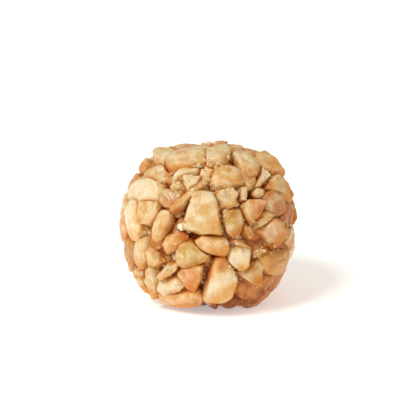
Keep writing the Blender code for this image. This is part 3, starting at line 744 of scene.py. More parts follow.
def fine_form(nut, grid):
    """The piece as points on a closed grid. The distance of a direction from the middle is one
    over its gauge, which is the root of the sum, over the cuts, of the direction's share along
    the cut over the cut's distance, and of its length over the body's half sizes, all to the
    crispness. So each cut is nearly flat and each edge is rounded. Waves are added along it."""
    fine = GRAINS[nut.kind]
    ways, faces = closed_grid(*grid, fine_top=True)
    cuts = cuts_of(nut)
    facing = np.array([tuple(cut[0]) for cut in cuts])
    distance = np.maximum([cut[1] for cut in cuts], LEAST_CUT)
    half = np.array(body_of(nut))
    dice = random.Random(nut.seed * 7 + 1)

    def shares(facing, distance):
        cut = (np.maximum(ways @ facing.T, 0) / distance) ** fine.crispness
        body = body_gauge(ways, half) ** fine.crispness
        return cut, body

    cut, body = shares(facing, distance)
    reach = (cut.sum(axis=1) + body) ** (-1 / fine.crispness)
    tops = len(facing)
    facets = dice.randint(*fine.facets)
    for k in range(facets + dice.randint(*fine.chips)):
        bearing = dice.uniform(0, math.tau)
        climb = math.radians(dice.uniform(*(FACET_CLIMB if k < facets else CHIP_CLIMB)))
        level = math.cos(climb)
        way = np.array([level * math.cos(bearing), level * math.sin(bearing), math.sin(climb)])
        edge = (ways * reach[:, None] @ way).max() * (1 - dice.uniform(*fine.bite))
        facing, distance = np.vstack([facing, way]), np.append(distance, edge)
    cut, body = shares(facing, distance)
    total = cut.sum(axis=1) + body
    reach = (total / ROUNDING) ** (-1 / fine.crispness)
    rough = np.array([dice.choice(FACE_ROUGHNESS) for _ in facing])
    rough[0] = 0
    if KINDS[nut.kind].top_tilt:
        rough[tops - 1] = 1 if nut.kind == "chalk" else dice.choice(TOP_ROUGHNESS)
    broken = (cut @ rough) / total
    edge = 1 - np.maximum(cut.max(axis=1), body) / total
    local = ways * reach[:, None]
    drawn = local * WAVE_DRAW
    slow, finer, creased = WAVE_PITCHES
    waves = fine.smooth_wave * (
        grain(local, slow, nut.seed)
        + 0.5 * grain(drawn, finer, nut.seed)
        + 0.5 * creases(drawn, creased, nut.seed)
    )
    ridged, grainy, finest = GRAIN_PITCHES
    ridges = 1 - 2 * np.abs(grain(local, ridged, nut.seed + 300))
    grains = fine.rough_wave * (
        0.6 * ridges + 0.4 * grain(local, grainy, nut.seed) + 0.3 * grain(local, finest, nut.seed)
    )
    local = ways * (reach + waves + grains * broken)[:, None]
    CUTS[nut.seed] = (facing, distance, half, fine.crispness)
    return local, faces, broken, edge


def turned(nut):
    """The axes of a piece, as rows, and its middle."""
    side = nut.outward.cross(nut.along)
    middle = nut.place - nut.outward * nut.high / 2
    return np.array([tuple(nut.along), tuple(side), tuple(nut.outward)]), np.array(tuple(middle))


FILLED_PITCH = 5.5  # mm from one filled stretch of the gaps to the next
FILLED_RANGE = (-0.12, 0.32)


def filled(points):
    """How full of coat and crumbs the gaps are at each point, from 0 to 1: a step on slow noise."""
    return smooth_step(grain(points, FILLED_PITCH, SEED), *FILLED_RANGE)


SHADED_SIDE = Vector((0.5, 0.1, -0.86))  # painted shade: a piece is warmer on this side, right and down, away from the key light
SHADED_SIDE_REACH = (-0.25, 0.8)
SHADED_SIDE_STRENGTH = 0.9
BROKEN_STEP = (0.2, 0.8)  # where a piece's tone goes over from its top's to its sides'
EDGE_STEP = (0.15, 0.6)
WARM_DEPTHS = (0.2, 1.6)  # mm below its top, a piece is painted warmer between these, as shade low down
SUNK_DEPTHS = (1.0, 2.6)  # and painted darker between these, as shade low down; where a gap is filled, up to 1 mm deeper
DARK_STEP = (0.4, 1.0)  # nearness to a neighbour, over which the painted shade beside it rises
DARKNESS = (0.85, 0.6)  # of the painted shade beside a neighbour, and how much less where a gap is filled
# how much warmer and darker the smears and painted shade make a piece
SMEAR_AND_SHADE_WARMTH = 1.2
SMEAR_AND_SHADE_DARKNESS = 0.4


def nut_pieces(kind, name, finish):
    """All the pieces of one kind, as one object."""
    shape = Shape()
    for nut in NUTS:
        if nut.kind != kind:
            continue
        local, faces, broken, edge = FORMS[nut.seed]
        axes, middle = turned(nut)
        points = middle + local @ axes
        top, side = (tone(key) for key in nut.tones.split("/"))
        down, full = nut.high / 2 - local[:, 2], filled(points)
        beside, smear_and_shade = contact(nut, points), smear_and_shade_at(points)
        # painted shade cast by the taller neighbours of a piece
        dark = (DARKNESS[0] - DARKNESS[1] * full) * smooth_step(beside, *DARK_STEP)
        ways = (points - middle) / np.linalg.norm(points - middle, axis=1)[:, None]
        # painted shade on the side of each piece away from the key light
        lower = SHADED_SIDE_STRENGTH * smooth_step(ways @ np.array(tuple(SHADED_SIDE)), *SHADED_SIDE_REACH)
        # painted warm shade: low down, beside taller neighbours, at the smears and away from the key light
        warm = (smooth_step(down, *WARM_DEPTHS), beside, SMEAR_AND_SHADE_WARMTH * smear_and_shade, lower)
        # painted shade, darker low down on each piece
        deep = smooth_step(down, SUNK_DEPTHS[0] + full, SUNK_DEPTHS[1] + full)
        shape.add(
            points,
            faces,
            tone=top + (side - top) * smooth_step(broken, *BROKEN_STEP)[:, None],
            broken=broken,
            edge=smooth_step(edge, *EDGE_STEP) * (1 - np.maximum(beside, smear_and_shade)),
            warm=np.maximum.reduce(warm),
            # painted shade: darker low down, beside taller neighbours and at the smears
            sunk=np.maximum.reduce([deep, dark, SMEAR_AND_SHADE_DARKNESS * smear_and_shade**2]),
        )
    shape.make(name, finish)


# Spots of the front's pieces painted warmer and darker, as smears of the coat and as painted shade:
# across, up, reach in mm and strength.
SMEARS_AND_SHADE = (
    (3.7, 13.6, 1.1, 0.9), (-10.2, 13.5, 1.0, 0.6), (-12.0, 13.2, 1.3, 0.9), (-8.6, 12.2, 0.7, 0.8),
    (-5.0, 13.0, 1.3, 0.4), (-6.8, 4.2, 1.1, 0.6), (-6.2, 2.8, 1.5, 0.9), (-3.0, 6.6, 1.0, 0.6),
    (-1.2, 8.8, 0.9, 0.5), (-14.2, 1.0, 0.9, 0.7), (-14.1, -1.6, 0.8, 0.7), (-8.2, -0.6, 1.2, 0.9),
    (-4.8, -2.0, 1.8, 1.0), (-7.2, -4.6, 0.9, 0.5), (2.4, -8.0, 1.8, 0.7), (0.0, -9.6, 1.1, 0.7),
    (4.8, -9.4, 0.8, 0.6), (8.6, -8.2, 1.1, 0.8), (3.2, -5.2, 0.9, 0.4), (6.6, 9.8, 1.2, 0.6),
    (9.9, 11.4, 1.0, 0.7), (8.0, 10.8, 1.0, 0.7), (12.2, 8.4, 1.2, 0.9), (10.6, 8.6, 0.9, 0.7),
    (12.0, 6.4, 0.8, 0.6), (10.3, 3.4, 1.2, 0.5), (9.0, 1.6, 1.3, 0.3), (13.4, 13.0, 1.3, 0.5),
    (6.4, -1.0, 0.9, 0.6), (4.8, 2.6, 1.2, 0.7), (2.2, 4.2, 0.8, 0.6), (14.4, 1.6, 1.3, 0.8),
    (15.8, 0.2, 1.2, 0.9), (13.4, -4.0, 0.9, 0.5), (-3.2, -9.0, 1.4, 0.4), (-2.0, -12.4, 1.0, 0.6),
    (-8.4, -10.6, 1.1, 0.8), (-12.4, -8.8, 0.9, 0.6), (-9.4, -7.4, 0.9, 0.6), (-16.0, -7.6, 1.4, 0.7),
    (7.4, -12.6, 1.6, 0.7), (7.8, -14.6, 1.6, 0.8), (10.4, -14.9, 1.6, 0.6), (-2.4, -15.6, 1.3, 0.8),
    (2.0, -16.6, 1.2, 0.8), (9.8, -2.6, 1.3, 0.7), (14.6, -4.6, 1.4, 0.7), (17.4, 2.0, 1.6, 0.7),
)


def smear_and_shade_at(points):
    """How much of the coat's smears and of painted shade each point of the front carries: bell curves
    about the spots, as far across and up as the viewer sees them."""
    offsets = points - np.array(tuple(MIDDLE))
    across, up = offsets @ np.array(tuple(RIGHT)), offsets @ np.array(tuple(UPWARD))
    total = np.zeros(len(points))
    for x, y, reach, strength in SMEARS_AND_SHADE:
        total = np.maximum(total, strength * np.exp(-((across - x) ** 2 + (up - y) ** 2) / reach**2))
    return total * (offsets @ np.array(tuple(TO_VIEWER)) > 0)


CONTACT_REACH = 1.0  # how far the shade of a neighbour reaches over a piece, mm
CONTACT_RAISE = 0.55
LEAST_GAUGE = 1e-6


def contact(nut, points):
    """How much of the coat and shade of its neighbours each point of a piece takes: a bell curve
    of the distance to the nearest of them, from a little above the point, so that only the
    neighbours that rise beside it count."""
    raised = points + np.array(tuple(nut.outward)) * CONTACT_RAISE
    beside = np.zeros(len(points))
    for other in NUTS:
        if other is nut or (other.place - nut.place).length > NEIGHBOUR_REACH:
            continue
        away = np.maximum(distance_outside(other, raised), 0)
        beside = np.maximum(beside, np.exp(-((away / CONTACT_REACH) ** 2)))
    return beside


def distance_outside(nut, points):
    """About how far each point is from a piece's surface, in millimetres, by its gauge."""
    facing, distance, half, crispness = CUTS[nut.seed]
    axes, middle = turned(nut)
    local = (points - middle) @ axes.T
    cut = (np.maximum(local @ facing.T, 0) / distance) ** crispness
    gauge = (cut.sum(axis=1) + body_gauge(local, half) ** crispness) ** (1 / crispness)
    return np.linalg.norm(local, axis=1) * (1 - 1 / np.maximum(gauge, LEAST_GAUGE))


NEIGHBOUR_REACH = 8.5  # a nut piece touches nothing farther from its place than this, mm
MIDDLE_GRID = (360, 180)
FILLET_WIDTH = 0.8
COAT_WIDTH = 1.4
HOLLOW = 0.9  # how far the middle sinks between the pieces, mm
FILLED_RISE = 1.5  # how much higher it stands where a gap is filled, mm
COAT_FILLET = 1.8  # the coat climbs this much higher round its own lumps
THICK_COAT = seen_on_front(12.0, -12.5) - MIDDLE  # where the coat is thickest, to the lower right
THICK_REACH = (math.cos(math.radians(27)), math.cos(math.radians(11)))
THICK_RISE = 1.4
FOOT = (1.0, 4.0)  # mm above the base: from the first height up the middle may sink between the
# pieces, and from the second it does so fully
MIDDLE_GRAINS = ((0.16, 1.3, 5), (0.09, 0.6, 6))  # height, pitch and seed
DEEP = (1.5, 3.0)  # mm under the outside of the ball, over which the middle is painted dark as shade in the gaps


def middle_form():
    """The sticky middle: the solid's lumpy ball, the outside less the nut layer plus the mean of
    seven plane waves, raised by a bell curve of the distance to each nut piece, plus grains."""
    dice = random.Random(SEED)
    lumps = []
    for _ in range(LUMP_WAVES):
        way = Vector([dice.gauss(0, 1) for _ in range(3)]).normalized()
        lumps.append((tuple(way * math.tau / dice.uniform(*LUMP_PITCH)), dice.uniform(0, math.tau)))
    ways, faces = closed_grid(*MIDDLE_GRID)
    layer = NUT_LAYER * np.minimum(1, (1 + ways[:, 2]) / UNDERSIDE)
    points = ways * (1 / stretch_of(ways) - layer)[:, None]
    lump = sum(np.sin(points @ np.array(way) + phase) for way, phase in lumps) / LUMP_WAVES
    points = np.array(tuple(MIDDLE)) + points + ways * (lump * LUMP_HEIGHT)[:, None]
    climb, coated = np.zeros(len(points)), np.zeros(len(points))
    fillet = bpy.context.scene.bite_sizes.fillet / MM
    for nut in NUTS:
        near = np.linalg.norm(points - np.array(tuple(nut.place)), axis=1) < NEIGHBOUR_REACH
        away = np.maximum(distance_outside(nut, points[near]), 0)
        if nut.kind == "coat":
            coated[near] = np.maximum(coated[near], np.exp(-((away / COAT_WIDTH) ** 2)))
        else:
            climb[near] = np.maximum(climb[near], np.exp(-((away / FILLET_WIDTH) ** 2)))
    full = filled(points)
    hollow = (HOLLOW - FILLED_RISE * full) * smooth_step(points[:, 2], *FOOT)
    points = points - ways * (hollow * (1 - np.maximum(climb, coated)))[:, None]
    thick = smooth_step(ways @ np.array(tuple(THICK_COAT.normalized())), *THICK_REACH)
    points = points + ways * (thick * THICK_RISE)[:, None]
    wet, climb, coated = climb, np.maximum(climb, coated * COAT_FILLET), np.maximum(coated, thick)
    grains = sum(high * grain(points, pitch, seed) for high, pitch, seed in MIDDLE_GRAINS)
    points = points + ways * (climb * fillet + grains)[:, None]
    offsets = points - np.array(tuple(MIDDLE))
    away = np.linalg.norm(offsets, axis=1)
    deep = smooth_step(away / stretch_of(offsets) - away, *DEEP)
    return points, faces, {"wet": wet, "coated": coated, "filled": full, "deep": deep}


CRUMB_GRID = (6, 4)
CRUMB_CUTS = 7
CRUMB_CUT_RANGE = (0.6, 1.0)  # how far from its middle a crumb is cut, as a share of half its size
CRUMB_CRISPNESS = 20
CRUMB_BODY = 0.75
CRUMB_STRETCH = 0.3
CRUMB_FLATNESS = 0.7  # a crumb lies flat, this much lower than it is wide


def crumb_forms(sizes, facings, grid, seed):
    """Chopped crumbs, one row of points each: one over the gauge of some cuts at random and of a
    round body, to a high power, so that they are sharp chips. Each lies flat on what its facing
    points away from."""
    dice = np.random.default_rng(seed)
    ways, faces = closed_grid(*grid)
    facing = dice.normal(size=(len(sizes), CRUMB_CUTS, 3))
    facing /= np.linalg.norm(facing, axis=2)[:, :, None]
    distance = dice.uniform(*CRUMB_CUT_RANGE, size=(len(sizes), CRUMB_CUTS))
    along = np.maximum(np.einsum("gx,ncx->ngc", ways, facing), 0) / distance[:, None, :]
    total = (along**CRUMB_CRISPNESS).sum(axis=2) + CRUMB_BODY**CRUMB_CRISPNESS
    gauge = total ** (1 / CRUMB_CRISPNESS)
    stretched = np.exp(dice.normal(0, CRUMB_STRETCH, size=(len(sizes), 1, 3)))
    stretched[:, :, 2] = CRUMB_FLATNESS
    forms = ways[None] / gauge[:, :, None] * stretched * sizes[:, None, None] / 2
    along = np.cross(facings, dice.normal(size=facings.shape))
    along /= np.linalg.norm(along, axis=1)[:, None]
    axes = np.stack([along, np.cross(facings, along), facings], axis=1)
    return np.einsum("ngx,nxy->ngy", forms, axes), faces


class Ground:
    """The pieces already made, for laying crumbs on them."""

    def __init__(self, names):
        graph = bpy.context.evaluated_depsgraph_get()
        self.trees = [BVHTree.FromObject(bpy.data.objects[name], graph) for name in names]

    def hit(self, start, way):
        """The first point met from start along way, and the way its surface faces."""
        hits = [tree.ray_cast(Vector(start) * MM, Vector(way)) for tree in self.trees]
        hits = [hit for hit in hits if hit[0] is not None]
        if not hits:
            return None
        place, facing, _, _ = min(hits, key=lambda hit: hit[3])
        return np.array(place) / MM, np.array(facing)


GROUND = ("sticky_middle", "split_kernels", "chopped_pieces", "chalky_pieces", "coated_lumps")
FRONT_FACING = 0.25  # cosine of the angle from the viewer within which a place is on the front
FRONT_SHARE = 0.3  # this share of the crumbs that land there stays, since others are written out
OPEN_DEPTH = 1.7  # nothing this deep is the top of a piece
LOWEST_CRUMB = 0.8
LOOKS = 7  # how many ways a place is looked round from
LOOK_START = 0.15  # mm above the place
LOOK_TILT = math.radians(52)
LOOK_REACH = 2.2
GAP_SHARE = 0.5  # a place where this share of the looks meets a piece is in a gap


def crowded(ground, place, way):
    """The share of the looks from a place, all tilted alike from its way out, that meet a piece."""
    side = Vector(way).orthogonal().normalized()
    met = 0
    for k in range(LOOKS):
        turn = Matrix.Rotation(k * math.tau / LOOKS, 3, way)
        look = way * math.cos(LOOK_TILT) + (turn @ side) * math.sin(LOOK_TILT)
        hit = ground.hit(Vector(place) + way * LOOK_START, look)
        met += hit is not None and np.linalg.norm(hit[0] - place) < LOOK_REACH
    return met / LOOKS


def scatter(ground, count, on_top, gap, seed):
    """Places over the ball for crumbs: in the gaps, at least this deep, and a share on the tops."""
    dice = random.Random(seed)
    places = []
    while len(places) < count:
        way = Vector([dice.gauss(0, 1) for _ in range(3)]).normalized()
        met = ground.hit(MIDDLE + way * WIDTH, -way)
        if met is None:
            continue
        place, facing = met
        depth = (outside(way) - MIDDLE).length - np.linalg.norm(place - np.array(tuple(MIDDLE)))
        on_front = way.dot(TO_VIEWER) > FRONT_FACING
        if place[2] < LOWEST_CRUMB or (on_front and dice.random() > FRONT_SHARE):
            continue
        if dice.random() > on_top and depth < OPEN_DEPTH:
            if depth < gap or crowded(ground, place, way) < GAP_SHARE:
                continue
        places.append((place, facing, depth))
    return places


def crumb_object(places, sizes, tones, name, grid, seed):
    """Crumbs laid at these places, sunk by a share of their size, as one object."""
    facings = np.array([facing for _, facing, _ in places])
    forms, faces = crumb_forms(sizes, facings, grid, seed)
    spots = [place - facing * size * CRUMB_SINK for (place, facing, _), size in zip(places, sizes)]
    points = forms + np.array(spots)[:, None, :]
    shape = Shape()
    triangles, quads = faces
    count, each = points.shape[:2]
    offset = (np.arange(count) * each)[:, None, None]
    shape.add(
        points.reshape(-1, 3),
        ((triangles[None] + offset).reshape(-1, 3), (quads[None] + offset).reshape(-1, 4)),
        tone=np.repeat(tones, each, axis=0),
    )
    shape.make(name, crumb_finish(name), smooth=False)


ROASTED = (0.95, 0.64, 0.22, 1)  # what roasting leaves of a nut's own colour
GOLDEN_SHADE = (0.92, 0.585, 0.18, 1)  # and what painted warm shade leaves of it: low down, beside taller neighbours, away from the light
DEEP_SHADE = (0.54, 0.14, 0.05, 1)  # and where it sinks into the coat


def kernel_finish(name, skin_roughness, chalk, gloss):
    """Roasted peanut: mottled and speckled from pale to roasted, granular and paler where it is broken,
    stickier low down, with pale rubbed edges. Painted shade makes it warmer low down, beside taller
    neighbours and on the side away from the light, and darker low down and beside taller neighbours."""
    finish = Finish(name)
    own, broken = finish.read("tone", "Color"), finish.read("broken")
    edge, warm, sunk = finish.read("edge"), finish.read("warm"), finish.read("sunk")
    slow, mottle = finish.noise(3.4, 1.0), finish.noise(1.9, 1.5)
    sand, dust = finish.noise(0.35, 3.0), finish.noise(0.16, 2.0)
    fibre = finish.noise(0.6, 3.0, (1.0, 0.5, 0.28))
    roasted = finish.mix(1.0, own, ROASTED, "MULTIPLY")
    colour = finish.mix(slow.rising(0.36, 0.70) * 0.75, own, roasted)
    paler = finish.mix(0.55, own, opaque(250, 236, 204))
    # pale mottling, kept off the painted warm shade, so that it is partly a painted highlight on the lit
    # side
    colour = finish.mix(mottle.rising(0.34, 0.66) * (0.8 - warm * 0.8), colour, paler)
    colour = finish.mix(fibre.rising(0.46, 0.70) * 0.42, colour, roasted)
    colour = finish.mix(sand.rising(0.52, 0.64) * 0.40, colour, roasted)
    colour = finish.mix((1 - sand.rising(0.36, 0.50)) * 0.34, colour, paler)
    chalky = (sand.rising(0.40, 0.62) * broken * 0.6 + edge * dust.rising(0.35, 0.6) * 0.9) * chalk
    colour = finish.mix(chalky, colour, finish.mix(0.5, own, opaque(252, 238, 204)))
    # painted shade: golden low down, beside taller neighbours and on the side away from the light
    golden = finish.mix(1.0, colour, GOLDEN_SHADE, "MULTIPLY")
    colour = finish.mix(warm * (slow * 0.9 + 0.45), colour, golden)
    # painted shade: darker and redder low down and beside taller neighbours
    wet = finish.mix(1.0, colour, DEEP_SHADE, "MULTIPLY")
    colour = finish.mix(sunk * (mottle * 0.6 + 0.65), colour, wet)
    roughness = broken * 0.25 + (mottle * 0.16 + skin_roughness) - sunk * 0.12
    rough = broken * 0.72 + 0.28
    bumps = [(fibre, 0.4, 0.14), (sand * rough, 0.9, 0.22), (dust * rough, 0.9, 0.11)]
    return finish.surface(
        colour,
        roughness,
        bumps,
        Subsurface_Weight=0.3,
        Subsurface_Radius=(1.0, 0.5, 0.2),
        Subsurface_Scale=0.001,
        Specular_IOR_Level=0.25,
        Coat_Weight=(1 - warm * 0.8) * gloss,
        Coat_Roughness=0.22,
    )


def coat_finish():
    """The sticky coat over nuts: tan-brown peanut butter, uneven and glossy, nuts showing through."""
    finish = Finish("sticky_coat")
    own, sunk = finish.read("tone", "Color"), finish.read("sunk")
    slow, mottle = finish.noise(2.8, 2.0), finish.noise(0.9, 3.0)
    sand = finish.noise(0.3, 3.0)
    thick = finish.mix(1.0, own, (0.82, 0.62, 0.45, 1), "MULTIPLY")
    colour = finish.mix(slow.rising(0.40, 0.64) * 0.7, own, thick)
    colour = finish.mix(mottle.rising(0.56, 0.74) * 0.45, colour, opaque(238, 196, 140))
    colour = finish.mix(sand.rising(0.62, 0.72) * 0.3, colour, opaque(120, 66, 34))
    # painted shade: the coat darker low down, beside taller neighbours and at the smears
    colour = finish.mix(sunk * 0.6, colour, thick)
    bumps = [(mottle, 0.5, 0.22), (sand, 0.35, 0.08)]
    gloss = bpy.context.scene.bite_sizes.gloss
    return finish.surface(
        colour,
        mottle * 0.2 + 0.26,
        bumps,
        Subsurface_Weight=0.3,
        Subsurface_Radius=(1.0, 0.42, 0.18),
        Subsurface_Scale=0.0014,
        Specular_IOR_Level=0.22,
        Coat_Weight=gloss * 0.18,
        Coat_Roughness=0.16,
    )


def middle_finish():
    """The sticky middle: brown peanut butter caramel, full of nut dust, painted darker deep down as shade
    in the gaps.
    """
    finish = Finish("sticky_middle")
    wet, deep, coated = finish.read("wet"), finish.read("deep"), finish.read("coated")
    full = finish.read("filled")
    slow, mottle = finish.noise(3.0, 2.0), finish.noise(0.8, 3.0)
    sand = finish.noise(0.32, 3.0)
    colour = finish.mix(slow.rising(0.36, 0.66), opaque(82, 30, 10), opaque(126, 60, 22))
    colour = finish.mix(wet * 0.5, colour, opaque(150, 80, 32))
    colour = finish.mix(mottle.rising(0.54, 0.72) * 0.45, colour, opaque(176, 116, 60))
    colour = finish.mix(sand.rising(0.60, 0.74) * 0.45, colour, opaque(206, 160, 104))
    crumbly = finish.mix(mottle.rising(0.36, 0.64), opaque(160, 92, 42), opaque(204, 148, 88))
    colour = finish.mix(full * 0.7, colour, crumbly)
    coat = finish.mix(slow.rising(0.40, 0.62), (*tone("coat"), 1), (*tone("brown"), 1))
    coat = finish.mix(mottle.rising(0.45, 0.75) * 0.4, coat, opaque(206, 146, 88))
    colour = finish.mix(coated.rising(0.25, 0.7), colour, coat)
    # painted shade: near black deep in the gaps, less where crumbs fill them
    colour = finish.mix(deep * (0.95 - mottle * 0.4) * (1 - full * 0.8), colour, opaque(50, 14, 5))
    bumps = [(mottle, 0.6, 0.3), (sand, 0.5, 0.12)]
    gloss = bpy.context.scene.bite_sizes.gloss
    return finish.surface(
        colour,
        mottle * 0.25 + 0.25,
        bumps,
        Subsurface_Weight=0.3,
        Subsurface_Radius=(1.0, 0.40, 0.16),
        Subsurface_Scale=0.0014,
        Specular_IOR_Level=0.15,
        Coat_Weight=gloss * 0.2,
        Coat_Roughness=0.16,
    )


def crumb_finish(name):
    """Crumbs: each its own tone, with a little dust of a paler one."""
    finish = Finish(name)
    sand = finish.noise(0.25, 2.0)
    own = finish.read("tone", "Color")
    colour = finish.mix(sand.rising(0.45, 0.7) * 0.4, own, finish.mix(0.3, own, opaque(250, 232, 190)))
    return finish.surface(
        colour,
        sand * 0.3 + 0.45,
        [(sand, 0.4, 0.05)],
        Subsurface_Weight=0.35,
        Subsurface_Radius=(1.0, 0.6, 0.35),
        Subsurface_Scale=0.0006,
    )


# Crumbs that the front shows: across, up, size in mm and tone.
FRONT_CRUMBS = (
    (-5.6, 0.1, 1.9, "white"), (-5.3, 1.2, 0.7, "cream"), (-6.0, -0.6, 0.5, "cream"),
    (-13.0, -2.3, 0.8, "cream"), (-12.2, -1.2, 0.7, "peach"), (-13.0, -0.6, 0.8, "tan"),
    (-9.6, 8.0, 0.9, "cream"), (-9.9, 7.2, 0.7, "pale"), (-9.4, 8.8, 0.8, "cream"),
    (-3.2, 6.3, 0.9, "cream"), (-2.6, 6.9, 0.8, "cream"), (-1.9, 6.6, 0.7, "cream"),
    (-0.9, 7.2, 0.8, "cream"), (-0.2, 7.8, 0.7, "cream"), (0.4, 8.3, 0.7, "cream"),
    (1.3, 7.2, 0.6, "cream"), (2.0, 7.6, 0.7, "amber"), (0.2, 12.8, 0.7, "cream"),
    (1.2, 12.6, 0.8, "cream"), (-0.5, 13.0, 0.6, "cream"), (2.6, 12.8, 0.6, "cream"),
    (4.4, 14.6, 0.9, "cream"), (4.3, 13.6, 0.8, "cream"), (4.6, 12.8, 0.9, "peach"),
    (5.2, 11.6, 0.7, "cream"), (8.2, 9.8, 0.8, "pale"), (7.6, 9.3, 0.6, "cream"), (8.3, 7.2, 0.9, "peach"),
    (8.6, 6.4, 0.7, "gold"), (9.0, 8.0, 0.6, "cream"), (12.9, 10.9, 0.8, "gold"),
    (13.2, 10.1, 0.6, "cream"), (-8.8, 10.0, 0.8, "peach"), (-8.2, 10.4, 0.6, "cream"),
    (-6.2, 9.2, 0.7, "cream"), (-5.8, 8.6, 0.6, "cream"), (-6.8, 7.4, 0.9, "cream"),
    (-6.0, 7.8, 0.8, "pale"), (-5.5, 7.0, 0.8, "cream"), (2.9, 2.9, 0.6, "cream"), (2.6, -0.6, 0.6, "pale"),
    (5.8, 3.4, 0.7, "gold"), (6.6, 3.9, 0.6, "cream"), (4.2, -4.0, 0.7, "cream"), (3.6, -3.0, 0.8, "cream"),
    (6.4, -2.9, 0.6, "pale"), (9.2, -5.6, 0.8, "cream"), (9.8, -6.4, 0.7, "pale"), (10.9, -5.0, 0.9, "tan"),
    (10.6, -7.0, 0.6, "gold"), (4.5, -8.4, 0.7, "cream"), (5.6, -9.0, 0.6, "cream"),
    (-0.2, -5.9, 0.5, "cream"), (0.4, -7.2, 0.8, "tan"), (-14.0, -10.2, 0.9, "cream"),
    (-13.6, -11.0, 0.8, "cream"), (-13.3, -11.6, 0.7, "cream"), (-14.4, -9.4, 0.7, "peach"),
    (-7.4, -8.6, 0.9, "cream"), (-8.4, -8.0, 0.7, "cream"), (-9.3, -9.2, 0.6, "cream"),
    (-5.6, -9.6, 0.7, "cream"), (-9.0, -6.7, 0.6, "amber"), (-6.2, -11.4, 0.6, "cream"),
    (12.6, -4.6, 0.6, "tan"), (8.9, 1.0, 0.6, "gold"), (9.4, -0.2, 0.7, "tan"), (7.4, 4.9, 0.6, "cream"),
    (16.2, 0.4, 0.7, "coat"), (15.6, 0.2, 0.6, "tan"), (-15.6, -9.4, 0.8, "tan"), (-0.6, -10.4, 0.7, "tan"),
    (5.7, -10.4, 0.7, "tan"), (2.2, 7.4, 0.9, "cream"), (4.0, 7.9, 0.9, "cream"), (5.8, 7.5, 0.8, "pale"),
    (0.0, 9.2, 0.9, "cream"), (-1.4, 11.8, 0.8, "cream"), (1.6, 12.2, 0.8, "pale"),
    (-0.9, 8.6, 0.8, "pale"), (-2.6, 12.6, 0.9, "cream"),
)


# How much wider the fine pieces are than the solid's, so that the gaps between them are narrow,
# and the columns and rows of their grids.
FRONT_MAKE = (1.05, (66, 40))
STREWN_MAKE = (1.12, (40, 25))


def make_ready():
    """Lays the nut pieces out once for all the operators."""
    if not NUTS:
        front = [front_nut(row, seed) for seed, row in enumerate(FRONT_PIECES)]
        for nut in strewn_nuts(front):
            snug, grid = FRONT_MAKE if nut.seed < len(front) else STREWN_MAKE
            nut = nut._replace(outline=tuple((x * snug, y * snug) for x, y in nut.outline))
            NUTS.append(nut)
            FORMS[nut.seed] = fine_form(nut, grid)


class BITE_OT_split_kernels(bpy.types.Operator):
    """Half kernels, smooth and round"""

    bl_idname = "bite.split_kernels"
    bl_label = "Split kernels"

    def execute(self, context):
        make_ready()
        nut_pieces("split", "split_kernels", kernel_finish("roasted_skin", 0.34, 0.5, 0.5))
        return {"FINISHED"}


class BITE_OT_chopped_pieces(bpy.types.Operator):
    """Chopped nut pieces with flat, granular faces"""

    bl_idname = "bite.chopped_pieces"
    bl_label = "Chopped pieces"

    def execute(self, context):
        make_ready()
        nut_pieces("chip", "chopped_pieces", kernel_finish("chopped_peanut", 0.40, 0.75, 0.35))
        return {"FINISHED"}


class BITE_OT_chalky_pieces(bpy.types.Operator):
    """Broken, crumbly nut pieces"""

    bl_idname = "bite.chalky_pieces"
    bl_label = "Chalky pieces"

    def execute(self, context):
        make_ready()
        nut_pieces("chalk", "chalky_pieces", kernel_finish("chalky_peanut", 0.55, 1.0, 0.0))
        return {"FINISHED"}


class BITE_OT_coated_lumps(bpy.types.Operator):
    """Nut pieces buried under the sticky coat"""

    bl_idname = "bite.coated_lumps"
    bl_label = "Coated lumps"

    def execute(self, context):
        make_ready()
        nut_pieces("coat", "coated_lumps", coat_finish())
        return {"FINISHED"}


class BITE_OT_sticky_middle(bpy.types.Operator):
    """The sticky middle that the nut pieces are pressed into. It comes after them"""

    bl_idname = "bite.sticky_middle"
    bl_label = "Sticky middle"

    def execute(self, context):
        if not CUTS:
            raise RuntimeError("the sticky middle needs the nut pieces first")
        points, faces, values = middle_form()
        shape = Shape()
        shape.add(points, faces, **values)
        shape.make("sticky_middle", middle_finish())
        return {"FINISHED"}


SHADE_DEPTHS = (0.8, 2.8)  # between these depths, crumbs are painted darker and warmer, as shade in the gaps, mm
# what painted shade deep down leaves of a crumb's colour, and of a small chip's
GAP_TINT = (0.62, 0.40, 0.22)
CHIP_TINT = (0.85, 0.66, 0.44)
CRUMB_SINK = 0.1
CRUMB_TONES = ("cream", "pale", "gold", "amber", "tan", "peach", "coat")


class Strewing(NamedTuple):
    """How crumbs of about one size are strewn over the ball."""

    name: str
    on_top: float  # the share that lies on the pieces
    depth: float  # all the others lie at least this deep, mm
    sizes: tuple  # from and to, mm
    shares: tuple  # of each of the crumb tones
    tint: tuple  # what painted shade leaves of a crumb's own colour deep down
    grid: tuple
    seed: int


STREWINGS = {
    "chips": Strewing(
        "small_chips", 0.0, 1.6, (1.3, 2.9), (5, 5, 5, 3, 3, 3, 0), CHIP_TINT, (8, 5), 10
    ),
    "crumbs": Strewing(
        "nut_crumbs", 0.0, 0.7, (0.4, 1.25), (2, 4, 5, 4, 4, 3, 3), GAP_TINT, CRUMB_GRID, 11
    ),
    "flecks": Strewing(
        "nut_dust", 0.08, 0.7, (0.16, 0.38), (8, 5, 0, 0, 0, 1, 0), GAP_TINT, (5, 3), 12
    ),
}


